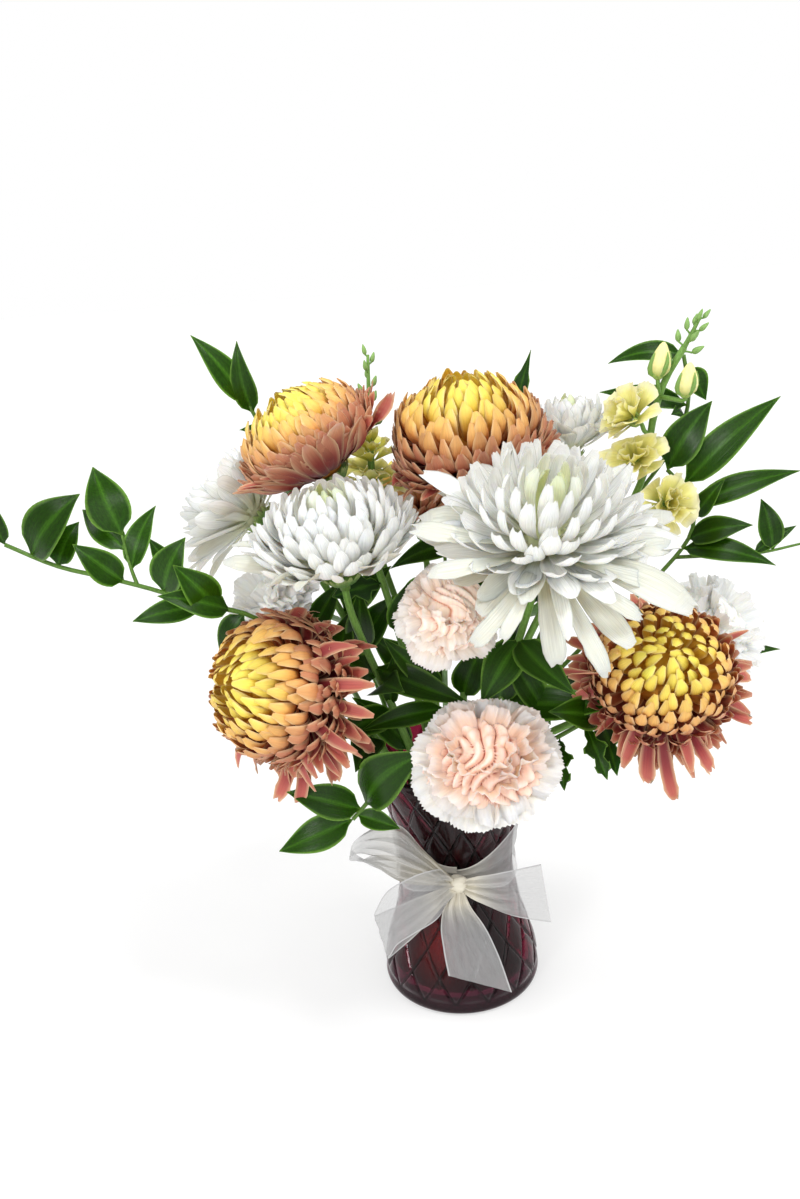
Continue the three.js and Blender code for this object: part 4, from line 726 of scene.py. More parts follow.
def ruffled_colour(colours, inwards, tones):
    """Petals of one body colour that turns to the heart's inside, paler along the cut edge and
    deeper towards the root of the inner petals, a fold colour that is partly the flower's own and partly painted shade."""
    root, body, heart, edge, fold = colours
    warm = float(eased((inwards - 0.25) / 0.5))
    deep, low = body + (heart - body) * warm, root + (fold - root) * warm
    rim = edge + (heart * 0.35 + edge * 0.65 - edge) * warm

    def shade(along, across, inner):
        colour = blend(blend(low, deep, eased((along - 0.1) / 0.6)), rim, eased((along - 0.72) / 0.26))
        return np.clip(colour * (1 + 0.03 * tones)[:, None, None], 0, 0.96)

    return shade


def ruffled_petals(bloom, colours, draw, number, inwards, columns, rows, count, root, rise, length, spread,
                   wave, folds, curl, cup, tooth=0.25):
    """A ring of fan-shaped petals whose far edges wave and are cut into small teeth."""
    size = bloom["size"]
    along, across = np.linspace(0, 1, rows)[:, None], np.linspace(-1, 1, columns)
    around = (np.arange(count) + 0.5 * number) / count * 2 * math.pi + draw.normal(0, 0.1, count)
    rise = np.radians(rise) + draw.normal(0, 0.1, count)
    curl = rise + np.radians(curl) + draw.normal(0, 0.24, count)
    length = (length * (1 + draw.normal(0, 0.05, count)))[:, None]
    root = np.broadcast_to(np.array(root, float), (count, 2))
    knee = root + np.stack([np.cos(rise), np.sin(rise)], -1) * (0.55 * length)
    tip = knee + np.stack([np.cos(curl), np.sin(curl)], -1) * (0.45 * length)
    flat = np.stack([root, root + (knee - root) * 0.6, knee + (knee - root) * 0.15, tip], axis=1) * size
    mid, run, side = whorl(around, flat, rows, 1.0, bloom.get("squash", 1))
    side, inward = rolled(run, side, draw.normal(0, 0.3, (count, 1)) * along[:, 0])
    width = spread * size * (1 + draw.normal(0, 0.06, (count, 1))) * (0.2 + 0.8 * eased(along[:, 0] / 0.95))
    bent = cup * (1 + draw.normal(0, 0.2, (count, 1)))
    phase = draw.uniform(0, 2 * math.pi, (2, count))[..., None, None]
    large = np.sin(across * folds * math.pi + phase[0] + along * 1.2)
    small = np.sin(across * folds * 2.7 * math.pi + phase[1])
    ruffle = size * along**1.6 * (wave * large + 0.35 * wave * small * along**2)
    jag = np.where(np.arange(columns) % 2 == 0, tooth, -tooth) + 0.5 * tooth * draw.normal(0, 1, (count, 1, columns))
    teeth = jag * (along == 1) - 0.2 * spread * size * across**2 * along**2
    shade = ruffled_colour(colours, inwards, draw.normal(0, 1, count))
    return petal_parts(turned_to(bloom, mid, run, side, inward), width, bent, shade, 0.45, columns, ruffle, teeth)


def ruffled_bloom(bloom, rings, colours, finish, slot, columns, rows, heart=()):
    """A whole bloom of ruffled petals, ring by ring, round its heart if it has one."""
    draw = np.random.default_rng(bloom["seed"])
    parts = [ruffled_petals(bloom, colours, draw, number, number / (len(rings) - 1), columns, rows, *ring)
             for number, ring in enumerate(rings)]
    for part in parts:
        part["points"] = pressed(part["points"], bloom, 8.0)
    lay_out(bloom["name"] + "_petals", [*parts, *heart], [finish], [bloom["name"]], slot)


carnation_skin = plant_skin("carnation_petal_skin", 0.6, 0.4, veins=0.5)
# Colours of the root, the body, the heart, the cut edge and the folds (partly painted shade).
WHITE_CARNATION = linear((204, 206, 188), (230, 231, 228), (232, 232, 228), (240, 240, 238), (198, 200, 184))
BLUSH_CARNATION = linear((206, 190, 164), (238, 226, 214), (246, 222, 206), (248, 242, 234), (214, 150, 122))
PEACH_CARNATION = linear((200, 188, 164), (218, 213, 204), (236, 200, 180), (226, 224, 219), (172, 80, 54))
CARNATION_LOOKS = {
    "carnation_blush": (BLUSH_CARNATION, "blush_petals"), "carnation_peach": (PEACH_CARNATION, "peach_petals"),
}
for bloom in CARNATIONS:
    colours, slot = CARNATION_LOOKS.get(bloom["name"], (WHITE_CARNATION, "white_petals"))
    ruffled_bloom(bloom, CARNATION_RINGS, colours, carnation_skin, slot, 33, 10, [crumpled_heart(bloom, colours)])

# ---------- The stocks ----------
# Two stems of double stock, one yellow-green between the upper blooms and one pale yellow at
# the top right: soft ruffled florets, closed buds above them, and a green tip.

FLORET_RINGS = [
    (5, (1.5, 2), 14, 17, 17, 1.5, 1.2, -14, 0.3),
    (5, (1.5, 3.5), 40, 15, 14, 1.8, 1.3, 0, 0.5),
    (5, (1, 5), 64, 12, 10, 1.6, 1.2, 22, 0.8),
]
COLUMN_RINGS = [
    (6, (2.5, 3), 8, 20, 16, 1.6, 1.2, -16, 0.3),
    (6, (2.5, 8), 24, 18, 15, 1.8, 1.3, 4, 0.5),
    (6, (2.5, 14), 14, 18, 15, 1.6, 1.2, -4, 0.4),
    (6, (2.2, 20), 30, 15, 13, 1.7, 1.3, 10, 0.6),
    (5, (2, 26), 30, 13, 12, 1.5, 1.2, 14, 0.7),
    (5, (1.5, 31), 52, 10, 9, 1.2, 1.1, 26, 0.9),
]
YELLOW_GREEN = linear((150, 165, 60), (226, 222, 128), (214, 212, 104), (240, 236, 168), (150, 160, 56))
PALE_YELLOW = linear((170, 176, 84), (236, 228, 154), (226, 218, 130), (246, 240, 190), (178, 174, 80))
stock_skin = plant_skin("stock_petal_skin", 0.5, 0.35, veins=0.6)
for bloom in STOCK_FLORETS:
    rings, colours = (COLUMN_RINGS, YELLOW_GREEN) if bloom["kind"] == "column" else (FLORET_RINGS, PALE_YELLOW)
    ruffled_bloom(bloom, rings, colours, stock_skin, "primrose_petals", 11, 9)


def swept(path, radius, sides, shade):
    """A round stem along a path of points, with closed ends; radius may be one for each point."""
    path = np.array(path, float)
    run = np.gradient(path, axis=0)
    run /= np.linalg.norm(run, axis=1, keepdims=True)
    across = np.cross(run[0], (0.3, 0.2, 1.0) if abs(run[0][2]) < 0.9 else (1.0, 0, 0))
    turn = (np.arange(sides) / sides * 2 * math.pi)[:, None]
    rings = []
    for point, ahead_here, size in zip(path, run, np.broadcast_to(radius, len(path))):
        across = across - ahead_here * (across @ ahead_here)
        across /= np.linalg.norm(across)
        rings.append(point + size * (np.cos(turn) * across + np.sin(turn) * np.cross(ahead_here, across)))
    flat = np.stack(np.meshgrid(np.linspace(0, 1, sides), np.arange(len(path)) * 0.3), -1).reshape(-1, 2)
    return {"points": np.concatenate(rings), "quads": closed_quads(len(path), sides), "shades": shade, "flat": flat}


def smooth_path(places, count):
    """Evenly shared points on a smooth line through the places (centripetal Catmull-Rom)."""
    places = np.array(places, float)
    padded = np.concatenate([[2 * places[0] - places[1]], places, [2 * places[-1] - places[-2]]])
    made = []
    for k in range(1, len(padded) - 2):
        four = padded[k - 1 : k + 3]
        knots = np.concatenate([[0], np.cumsum(np.sqrt(np.linalg.norm(np.diff(four, axis=0), axis=1)))])
        t = np.linspace(knots[1], knots[2], 24, endpoint=False)[:, None]

        def between(a, b, p, q):
            return (knots[b] - t) / (knots[b] - knots[a]) * p + (t - knots[a]) / (knots[b] - knots[a]) * q

        a1, a2, a3 = (between(i, i + 1, four[i], four[i + 1]) for i in range(3))
        made.append(between(1, 2, between(0, 2, a1, a2), between(1, 3, a2, a3)))
    line = np.concatenate([*made, places[-1:]])
    run = np.concatenate([[0], np.cumsum(np.linalg.norm(np.diff(line, axis=0), axis=1))])
    share = np.linspace(0, run[-1], count)
    return np.stack([np.interp(share, run, line[:, k]) for k in range(3)], -1)


def nearest_on(path, place):
    return path[np.argmin(np.linalg.norm(path - np.array(place, float), axis=1))]


stem_skin = plant_skin("stem_skin", 0.5, 0.08, ribs=10.0)
STOCK_GREEN = linear(112, 150, 74)
SEPAL_RADII = [0.5, 1.2, 1.5, 1.5, 1.2, 0.8, 0.3]


def outward(turn):
    """The level direction at a bearing."""
    return np.array([math.cos(turn), math.sin(turn), 0])


def stock_bud(foot, top, wide, shade, sides):
    """A closed bud, fat below its middle and drawn to a blunt point."""
    share = np.array([0, 0.06, 0.18, 0.36, 0.56, 0.76, 0.92, 1.0])
    girth = np.array([0.3, 0.62, 0.92, 1.0, 0.86, 0.6, 0.34, 0.1])
    return swept(foot + (top - foot) * share[:, None], girth * wide, sides, shade)


def stock_tip(foot, top, count, spread):
    """The unopened end of a stock: its axis with small long buds on every side."""
    foot, top = np.array(foot, float), np.array(top, float)
    run, axes = top - foot, axes_along(top - foot)
    parts = [swept(foot + run * np.linspace(0, 1, 6)[:, None], np.linspace(1.7, 0.9, 6), 8, STOCK_GREEN)]
    for k in range(count):
        share = 0.08 + 0.92 * k / (count - 1)
        reach = spread * (1.15 - 0.75 * share)
        low = foot + run * share - run / np.linalg.norm(run) * 2
        away = axes @ np.array([reach * math.cos(k * 2.4), reach * math.sin(k * 2.4), 3.5])
        knee = low + away * 0.55
        parts.append(swept(smooth_path([low, (low + knee) / 2 + axes[:, 2] * 0.4, knee], 5), 0.6, 6, STOCK_GREEN))
        parts.append(stock_bud(knee, low + away + axes[:, 2] * 4.5, 1.9 - 0.5 * share, linear(132, 168, 96), 8))
    return parts


tip_parts = stock_tip((-37.2, 44.3, 346.5), (-35, 47, 390), 10, 8)
lay_out("stock_yellow_green_tip", tip_parts, [stem_skin], ["stock_yellow_tip"], "green_buds")
PALE_BUDS = {"left": ((128, 22, 369), (131, 21, 388)), "right": ((141, 12, 359), (143, 10, 377))}
for where, ends in PALE_BUDS.items():
    low, high = np.array(ends, float)
    ripening = eased(np.linspace(0, 1, 8).repeat(14) / 0.5)
    parts = [stock_bud(low, high, 6.0, blend(linear(170, 186, 96), linear(236, 228, 160), ripening), 14)]
    for turn in np.arange(4) * math.pi / 2 + 0.4:
        out = outward(turn)
        line = [low - UP * 0.5, low + out * 5.2 + UP * 3]
        line += [low + out * reach + (high - low) * share for reach, share in ((6.3, 0.45), (5, 0.72))]
        parts.append(swept(smooth_path(line, 7), SEPAL_RADII, 6, linear(120, 156, 78)))
    lay_out(f"stock_pale_bud_{where}_closed", parts, [stock_skin], [f"stock_pale_bud_{where}"], "primrose_petals")

# ---------- The ruscus ----------
# Arching sprays of Italian ruscus: a thin wiry stem with glossy pointed leaves, each with fine
# parallel veins, a paler midrib and a thin light edge.

LEAF_COLUMNS = 11
TOWARDS_FRONT = (0, -0.8, 0.6)
TOWARDS_BACK = (0, 0.8, 0.6)
RUSCUS_TOP, RUSCUS_UNDER, RUSCUS_EDGE, RUSCUS_RIB = linear((30, 62, 2), (72, 108, 26), (100, 142, 52), (62, 108, 22))
RUSCUS_STEM_GREEN = linear(88, 122, 52)
leaf_gloss = plant_skin("ruscus_leaf_skin", 0.26, 0.08, ribs=26.0, bump=0.22)


def leaf_outline(lobed):
    """Share of a leaf's full width at each row, smooth and pointed or with lobes."""
    if not lobed:
        t = np.linspace(0, 1, 15)
        return np.maximum(np.sin(math.pi * t**0.72) * (0.1 + 0.9 * eased(t / 0.14)), 0.02)
    t = np.linspace(0, 1, 19)
    shape = np.sin(math.pi * t**0.9) ** 0.7 * (0.14 + 0.86 * eased((t - 0.06) / 0.3))
    return np.maximum(shape * (0.78 + 0.34 * np.cos(2 * math.pi * (3.1 * t - 0.52))), 0.03)


def leaf_parts(paths, leaves, seed, finish=0, tops=(RUSCUS_TOP, RUSCUS_UNDER), lobed=False, dish=0.28, arch=0.11):
    """Leaves [place, tip, width, facing, arch] that grow from the nearest stem, each a thin closed
    blade folded a little along its midrib, with a slow wave along its edges."""
    draw = np.random.default_rng(seed)
    count, outline = len(leaves), leaf_outline(lobed)
    rows = len(outline)
    filled = [(*leaf, *(TOWARDS_FRONT, arch)[len(leaf) - 3 :]) for leaf in leaves]
    on_each = [[nearest_on(path, leaf[0]) for path in paths] for leaf in leaves]
    roots = np.array([min(near, key=lambda r: np.linalg.norm(r - leaf[0])) for near, leaf in zip(on_each, leaves)])
    tips, facing = (np.array([leaf[k] for leaf in filled], float) for k in (1, 3))
    width, arches = (np.array([leaf[k] for leaf in filled], float)[:, None] for k in (2, 4))
    facing /= np.linalg.norm(facing, axis=1, keepdims=True)
    run = tips - roots
    length = np.linalg.norm(run, axis=1, keepdims=True)
    face = facing - run * (np.sum(facing * run, axis=1, keepdims=True) / length**2)
    face /= np.linalg.norm(face, axis=1, keepdims=True)
    sway = np.cross(run / length, face) * length * draw.normal(0, 0.05, (count, 1))
    bend = (roots + tips) / 2 + face * 2 * arches * length + sway
    controls = np.stack([roots, roots + (bend - roots) * 0.67, tips + (bend - tips) * 0.67, tips], axis=1)
    mid, ahead_of = curve_through(controls, rows, 1.0)
    side = np.cross(face[:, None], ahead_of)
    side /= np.linalg.norm(side, axis=-1, keepdims=True)
    along, across = np.linspace(0, 1, rows), np.linspace(-1, 1, LEAF_COLUMNS)
    side, inward = rolled(ahead_of, side, draw.normal(0, 0.22, (count, 1)) * (along - 0.3))
    width = width * outline
    wave = np.sin(along[:, None] * 9 + draw.uniform(0, 6, (count, 1, 1)) + 1.5 * np.sign(across))
    ruffle = 0.022 * width[..., None] * wave * across**2 - 0.35 * np.exp(-((across / 0.13) ** 2))
    cup = dish * (1 + draw.normal(0, 0.25, (count, 1)))
    tones = draw.normal(0, 1, count)

    def shade(along_it, across_it, inner):
        colour = blend(tops[0] if inner else tops[1], RUSCUS_RIB, 0.7 * np.exp(-((across_it / 0.12) ** 2)))
        colour = blend(colour, RUSCUS_EDGE, 0.8 * (np.abs(across_it) > 0.97))
        return colour * (1 + 0.13 * tones)[:, None, None]

    teeth = 1.1 * np.cos(np.arange(rows) * 2.9)[:, None] * (np.abs(across) > 0.97) if lobed else 0
    blades = petal_parts((mid, ahead_of, side, inward), width, cup, shade, 0.45, LEAF_COLUMNS, ruffle, teeth)
    return dict(blades, finish=finish)


def stem_path(slot, rim, via, to, count=40):
    """A stem from its cut end in the water, through the waist and over the rim to what it carries."""
    places = [(slot[0] * 1.2, slot[1] * 1.2, 11), (slot[0], slot[1], 84), (rim[0], rim[1], 156), *via, to]
    return smooth_path(places, count)


def polar(radius, bearing):
    return radius * math.cos(math.radians(bearing)), radius * math.sin(math.radians(bearing))


def noded(path, radius):
    """A stem's radius along its path, a little thicker at its joints and tapering upwards."""
    share = np.linspace(0, 1, len(path))
    return radius * (1.04 - 0.3 * share) * (1 + 0.1 * np.exp(-(((share * 5) % 1 - 0.5) / 0.06) ** 2))


RUSCUS = {
    "ruscus_left": dict(
        route=(polar(24.5, -167), polar(41, -168),
               [(-74, -17, 216), (-104, -33, 259), (-132, -36, 269), (-156, -34, 278), (-182, -32, 286),
                (-210, -30, 294)], (-235, -32, 308)),
        twigs=[[(-163, -34, 279), (-168, -32, 290), (-171, -30, 309)]],
        leaves=[((-224, -30, 299), (-188, -36, 334), 30), ((-209, -30, 293), (-196, -22, 316), 18),
                ((-236, -32, 308), (-240, -32, 336), 12), ((-172, -31, 300), (-196, -14, 321), 16),
                ((-171, -30, 308), (-185, -18, 345), 24), ((-174, -32, 283), (-195, -40, 308), 18),
                ((-168, -32, 290), (-153, -20, 322), 15), ((-150, -34, 276), (-134, -40, 308), 22),
                ((-126, -36, 268), (-140, -50, 296), 20), ((-114, -38, 263), (-150, -52, 280), 17),
                ((-128, -36, 268), (-168, -44, 264), 15), ((-108, -38, 260), (-126, -30, 236), 18),
                ((-140, -36, 273), (-162, -12, 302), 14)]),
    "ruscus_upper_left": dict(
        route=(polar(24.5, 146), polar(41, 146), [(-74, 58, 270), (-92, 62, 320)], (-108, 46, 366)),
        leaves=[((-108, 46, 366), (-136, 40, 408), 17), ((-106, 47, 363), (-110, 42, 403), 15),
                ((-102, 52, 348), (-114, 40, 352), 9), ((-84, 60, 296), (-112, 78, 318), 18, TOWARDS_BACK)]),
    "ruscus_low_left": dict(
        route=(polar(24.5, -112), polar(41, -118), [(-38, -54, 162)], (-56, -64, 148)),
        leaves=[((-49, -62, 153), (-91, -64, 167), 20), ((-56, -64, 148), (-99, -64, 130), 20),
                ((-47, -60, 153), (-12, -84, 197), 28), ((-54, -62, 149), (-30, -66, 142), 12)]),
    "ruscus_low_right": dict(
        route=(polar(24.5, -45), polar(41, -43), [(60, -44, 182)], (82, -44, 194)),
        leaves=[((82, -44, 194), (53, -66, 208), 20)],
        lobed=[((74, -44, 190), (84, -66, 166), 13), ((60, -44, 182), (60, -72, 164), 13)]),
    "ruscus_right": dict(
        route=(polar(15, -8), (26, -4),
               [(86, 10, 218), (128, 16, 254), (148, 18, 280), (147, 20, 300)], (134, 22, 316)),
        twigs=[[(138, 17, 266), (158, 12, 266), (183, 5, 268), (206, 2, 273)]],
        leaves=[((134, 22, 315), (158, 20, 354), 22), ((144, 20, 304), (194, 14, 355), 20),
                ((149, 19, 293), (203, 2, 315), 16), ((148, 18, 286), (162, 4, 313), 12),
                ((143, 18, 274), (176, -4, 287), 17), ((141, 17, 271), (185, -18, 267), 16),
                ((190, 4, 269), (185, 12, 298), 15), ((178, 6, 268), (206, 12, 281), 8)]),
    "ruscus_upper_right": dict(
        route=(polar(24.5, 30), polar(41, 32),
               [(80, 56, 240), (124, 70, 288), (148, 54, 330), (152, 48, 354)], (148, 46, 378)),
        leaves=[((148, 46, 378), (104, 44, 376), 14), ((152, 49, 346), (99, 44, 360), 15),
                ((149, 46, 372), (160, 40, 352), 17), ((150, 52, 338), (138, 32, 346), 13)]),
    "ruscus_back": dict(
        route=(polar(24.5, 92), polar(41, 92), [(2, 84, 214), (4, 118, 250)], (2, 130, 282)),
        leaves=[((2, 130, 281), (8, 141, 322), 20, TOWARDS_BACK),
                ((4, 118, 250), (44, 132, 262), 20, TOWARDS_BACK),
                ((4, 124, 258), (-38, 134, 272), 20, TOWARDS_BACK),
                ((3, 100, 232), (-30, 118, 216), 18, TOWARDS_BACK),
                ((3, 96, 228), (34, 108, 214), 18, TOWARDS_BACK)]),
}
for seed, (name, spray) in enumerate(RUSCUS.items()):
    main = stem_path(*spray["route"], 56)
    paths = [main] + [smooth_path([nearest_on(main, twig[0]), *twig[1:]], 14) for twig in spray.get("twigs", [])]
    parts = [swept(main, noded(main, 1.6), 8, RUSCUS_STEM_GREEN)]
    parts += [swept(path, np.linspace(1.2, 0.7, len(path)), 8, RUSCUS_STEM_GREEN) for path in paths[1:]]
    parts.append(leaf_parts(paths, spray["leaves"], 300 + seed))
    if "lobed" in spray:
        parts.append(leaf_parts(paths, spray["lobed"], 340 + seed, lobed=True))
    lay_out(name + "_spray", parts, [leaf_gloss], [name], "ruscus_leaves")

# ---------- The flower stems ----------
# Each bloom sits in its green cup on a ribbed stem that runs down over the rim, through the
# waist and into the water. The chrysanthemums' stems keep a few lobed leaves.

MUM_GREEN, CARNATION_GREEN = linear((104, 142, 66), (122, 152, 104))
CUP_GREEN, CALYX_GREEN = linear((92, 132, 62), (138, 164, 108))
CALYX_TOOTH_RADII = [1.3, 1.7, 1.6, 1.2, 0.7, 0.2]
MUM_LEAF_TOPS = linear((24, 58, 12), (74, 108, 46))
FLOWER_STEMS = {
    "bronze_mum_upper_left": (polar(5.2, 200), (-11, -2)),
    "bronze_mum_top": (polar(5.2, 20), (7, 5)),
    "bronze_mum_low_left": (polar(24.5, -142), polar(41, -141)),
    "bronze_mum_right": (polar(24.5, -22), polar(41, -20)),
    "bronze_mum_back": (polar(15, 105), (-7, 26)),
    "white_mum_front": (polar(15, -52), (19, -22)),
    "white_mum_left": (polar(15, -142), (-21, -17)),
    "white_mum_far_left": (polar(15, 158), (-25, 10)),
    "white_mum_back_right": (polar(15, 62), (16, 24)),
    "white_mum_back": (polar(24.5, 62), polar(40, 60)),
    "carnation_blush": (polar(15, -95), (-2, -28)),
    "carnation_peach": (polar(24.5, -76), polar(36, -76)),
    "carnation_right": (polar(24.5, 2), polar(41, 4)),
    "carnation_left": (polar(24.5, 170), polar(41, 172)),
    "stock_yellow_florets": (polar(5.2, 112), (-4, 12)),
}
FLOWER_LEAVES = {
    "bronze_mum_upper_left": [((-36, 4, 262), (-62, -14, 262), 20)],
    "bronze_mum_top": [((14, 10, 250), (44, -14, 268), 20), ((20, 20, 296), (61, 56, 386), 15, TOWARDS_FRONT, -0.12)],
    "bronze_mum_low_left": [((-44, -34, 180), (-52, -66, 178), 20)],
    "bronze_mum_right": [((88, -26, 186), (90, -62, 166), 18)],
    "white_mum_front": [((38, -50, 236), (18, -60, 212), 22), ((40, -52, 240), (66, -78, 222), 20)],
    "white_mum_left": [((-30, -30, 214), (-22, -72, 226), 22)],
    "white_mum_far_left": [((-54, 24, 236), (-84, 40, 232), 20, TOWARDS_BACK)],
    "white_mum_back_right": [((48, 42, 236), (76, 30, 246), 20)],
    "bronze_mum_back": [((-10, 52, 226), (-32, 76, 212), 22, TOWARDS_BACK)],
    "white_mum_back": [((50, 76, 208), (80, 88, 206), 22, TOWARDS_BACK)],
    "carnation_right": [((130, 14, 203), (207, 30, 198), 15, TOWARDS_FRONT, 0.0)],
}
# Broad dark leaves that fill the middle of the bunch, [root, tip, width], on the nearest stem.
DEEP_LEAVES = [
    ((-12, -30, 209), (-34, -30, 242), 15), ((-25, -45, 229), (12, -45, 206), 19),
    ((34, -40, 198), (32, -40, 240), 21), ((45, -40, 221), (57, -40, 188), 17),
    ((57, -50, 190), (94, -52, 203), 21), ((-36, -20, 221), (-62, -20, 227), 18),
    ((-30, -45, 189), (-67, -45, 187), 18), ((-18, -40, 196), (-50, -40, 190), 14),
    ((-28, -35, 196), (-28, -35, 234), 10),
    ((-4, -5, 191), (6, -5, 231), 20), ((14, 5, 186), (24, 5, 222), 20), ((-44, 0, 223), (-47, 0, 262), 18),
    ((-29, 5, 227), (-18, 5, 263), 18), ((57, 5, 209), (49, 5, 246), 18), ((73, 0, 196), (86, 0, 222), 16),
    ((-9, 20, 214), (-10, 20, 250), 20), ((3, -10, 158), (-14, -12, 196), 22), ((38, -20, 176), (56, -20, 206), 18),
    ((-24, -10, 168), (-56, -10, 198), 18), ((-4, 30, 280), (-30, 30, 264), 16), ((20, 10, 250), (0, -10, 272), 20),
    ((-72, 12, 240), (-59, 12, 264), 16), ((-61, 12, 213), (-54, 12, 245), 18), ((-44, 20, 222), (-28, 20, 250), 20),
    ((-28, 14, 205), (-19, 14, 232), 16), ((-46, 26, 246), (-29, 26, 267), 18), ((-12, 28, 218), (-23, 28, 244), 18),
    ((22, 20, 190), (44, 30, 220), 20), ((-24, 30, 190), (-46, 44, 216), 20), ((4, 40, 196), (8, 56, 232), 20),
]
SMOOTH_LEAVED = ("bronze_mum_low_left", "white_mum_front", "white_mum_left", "carnation_right")


def mum_cup(bloom):
    """The green cup under a chrysanthemum: a flared seat with two rows of small scales."""
    size = bloom["size"]
    rings = [(-10, 2.7), (-7, 3.2), (-4.5, 5.2 * size), (-2.2, 8.0 * size), (0.4, 9.4 * size), (1.0, 7.0 * size)]
    seat = dict(turned_wall(rings, 20), shades=MUM_GREEN)
    number = np.arange(26)
    line = np.array([(4.4, -4.6), (7.4, -3.4), (9.8, -1.0), (11.2, 2.2)]) * size
    line = line - 1.2 * (number % 2)[:, None, None] * size
    mid, run, side = whorl(number * GOLDEN_ANGLE, line, 6, 1.0)
    width = np.full((len(number), 1), 3.4 * size) * petal_outline(6, 0.8, 0.5, 0.2, 1.0)

    def shade(along, across, inner):
        return blend(CUP_GREEN, linear(156, 172, 110), eased((along - 0.5) / 0.5))

    scales = petal_parts((mid, run, side, np.cross(run, side)), width, 0.3, shade, 0.5, 5)
    return [placed_on(bloom, seat), placed_on(bloom, scales)]


def carnation_cup(bloom):
    """A carnation's long smooth calyx, with five teeth at its mouth and scales at its foot."""
    wide = 5.3 * bloom["size"]
    rings = [(-25, 2.2), (-23, 3.4), (-18, wide * 0.92), (-11, wide), (-4, wide * 0.98), (0.5, wide * 1.04)]
    parts = [dict(turned_wall([*rings, (1.0, wide * 0.7)], 20), shades=CALYX_GREEN)]
    for k in range(9):
        turn = k * 2 * math.pi / 5
        low, high, bulge = (-2, 4.5, 1.1) if k < 5 else (-24, -16, 0.9)
        out = outward(turn) * (wide * bulge)
        line = [out * 0.93 + UP * low, out * 1.06 + UP * (low + high) / 2, out * 1.02 + UP * high]
        parts.append(swept(smooth_path(line, 6), CALYX_TOOTH_RADII, 6, linear(150, 172, 112)))
    return [placed_on(bloom, part) for part in parts]


def flower_stem(bloom):
    """A bloom's stem, from its cut end to just inside its cup."""
    axis, base = axes_along(bloom["axis"])[:, 2], np.array(bloom["base"], float)
    end, approach = (23, 36) if bloom["kind"] == "carnation" else (6, 24)
    return stem_path(*FLOWER_STEMS[bloom["name"]], [base - axis * approach], base - axis * end)


mum_leaf_skin = plant_skin("mum_leaf_skin", 0.45, 0.08, ribs=14.0, bump=0.45)
stemmed = [bloom for bloom in ALL_BLOOMS if bloom["name"] in FLOWER_STEMS]
ways_up = {bloom["name"]: flower_stem(bloom) for bloom in stemmed}
deep_leaves = {name: [] for name in ways_up}
for leaf in DEEP_LEAVES:
    nearest = min(ways_up, key=lambda name: np.linalg.norm(nearest_on(ways_up[name], leaf[0]) - leaf[0]))
    deep_leaves[nearest].append(leaf)
for number, bloom in enumerate(stemmed):
    name, kind, path = bloom["name"], bloom["kind"], ways_up[bloom["name"]]
    radius = {"carnation": 2.1, "column": 2.5}.get(kind, 2.7)
    green = CARNATION_GREEN if kind == "carnation" else MUM_GREEN
    parts = [swept(path, noded(path, radius), 10, green)]
    if kind == "column":
        axis = axes_along(bloom["axis"])[:, 2]
        parts.append(swept([bloom["base"] + axis * up for up in (-8, 20, 37)], [2.4, 2.2, 1.6], 10, green))
    else:
        parts += carnation_cup(bloom) if kind == "carnation" else mum_cup(bloom)
    if name in FLOWER_LEAVES:
        lobed = name not in SMOOTH_LEAVED
        tops = MUM_LEAF_TOPS if lobed else (RUSCUS_TOP, RUSCUS_UNDER)
        parts.append(leaf_parts([path], FLOWER_LEAVES[name], 400 + number, 1, tops, lobed, 0.3))
    if deep_leaves[name]:
        parts.append(leaf_parts([path], deep_leaves[name], 440 + number, 2))
    lay_out(name + "_stalk", parts, [stem_skin, mum_leaf_skin, leaf_gloss], [name + "_stem"], "flower_stems")

# The pale stock's own stem, with a short stalk to each of its florets and buds.
pale_way = [(68, 24, 246), (110, 30, 288), (123, 31, 314), (127, 29, 344), (133, 27, 366)]
pale_path = stem_path(polar(15, 25), (25, 11), pale_way, (143, 25, 384), 56)
parts = [swept(pale_path, noded(pale_path, 2.6), 10, STOCK_GREEN)]
stalked = [(bloom["base"], bloom["axis"]) for bloom in STOCK_FLORETS[1:]]
stalked += [(foot, UP) for foot, _ in PALE_BUDS.values()]
for place, axis in stalked:
    place, axis = np.array(place, float), np.array(axis) / np.linalg.norm(axis)
    root = nearest_on(pale_path, place + (-2, 4, -8))
    line = smooth_path([root, (root + place) / 2 - UP * 1.5, place - axis * 2.5, place + axis * 1.0], 9)
    parts.append(swept(line, np.linspace(1.5, 1.2, 9), 8, STOCK_GREEN))
    for turn in np.arange(5) * 2 * math.pi / 5:
        out = axes_along(axis) @ outward(turn)
        sepal = smooth_path([place - axis * 1.5, place + out * 2.8 + axis * 1.5, place + out * 3.9 + axis * 6.5], 6)
        parts.append(swept(sepal, [0.8, 1.3, 1.5, 1.3, 0.9, 0.3], 6, linear(150, 176, 92)))
parts += stock_tip((142, 25, 382), (152, 26, 400), 9, 9)
lay_out("stock_pale_stalk", parts, [stem_skin], ["stock_pale_stem"], "flower_stems")

# ---------- The ribbon ----------
# One sheer white organza ribbon, 38 mm wide with a denser woven edge: a band gathered round the
# waist, a knot, two loops on the left and two tails.

RIBBON_HALF = 19.0
KNOT = np.array([0, -44.2, 91.0])


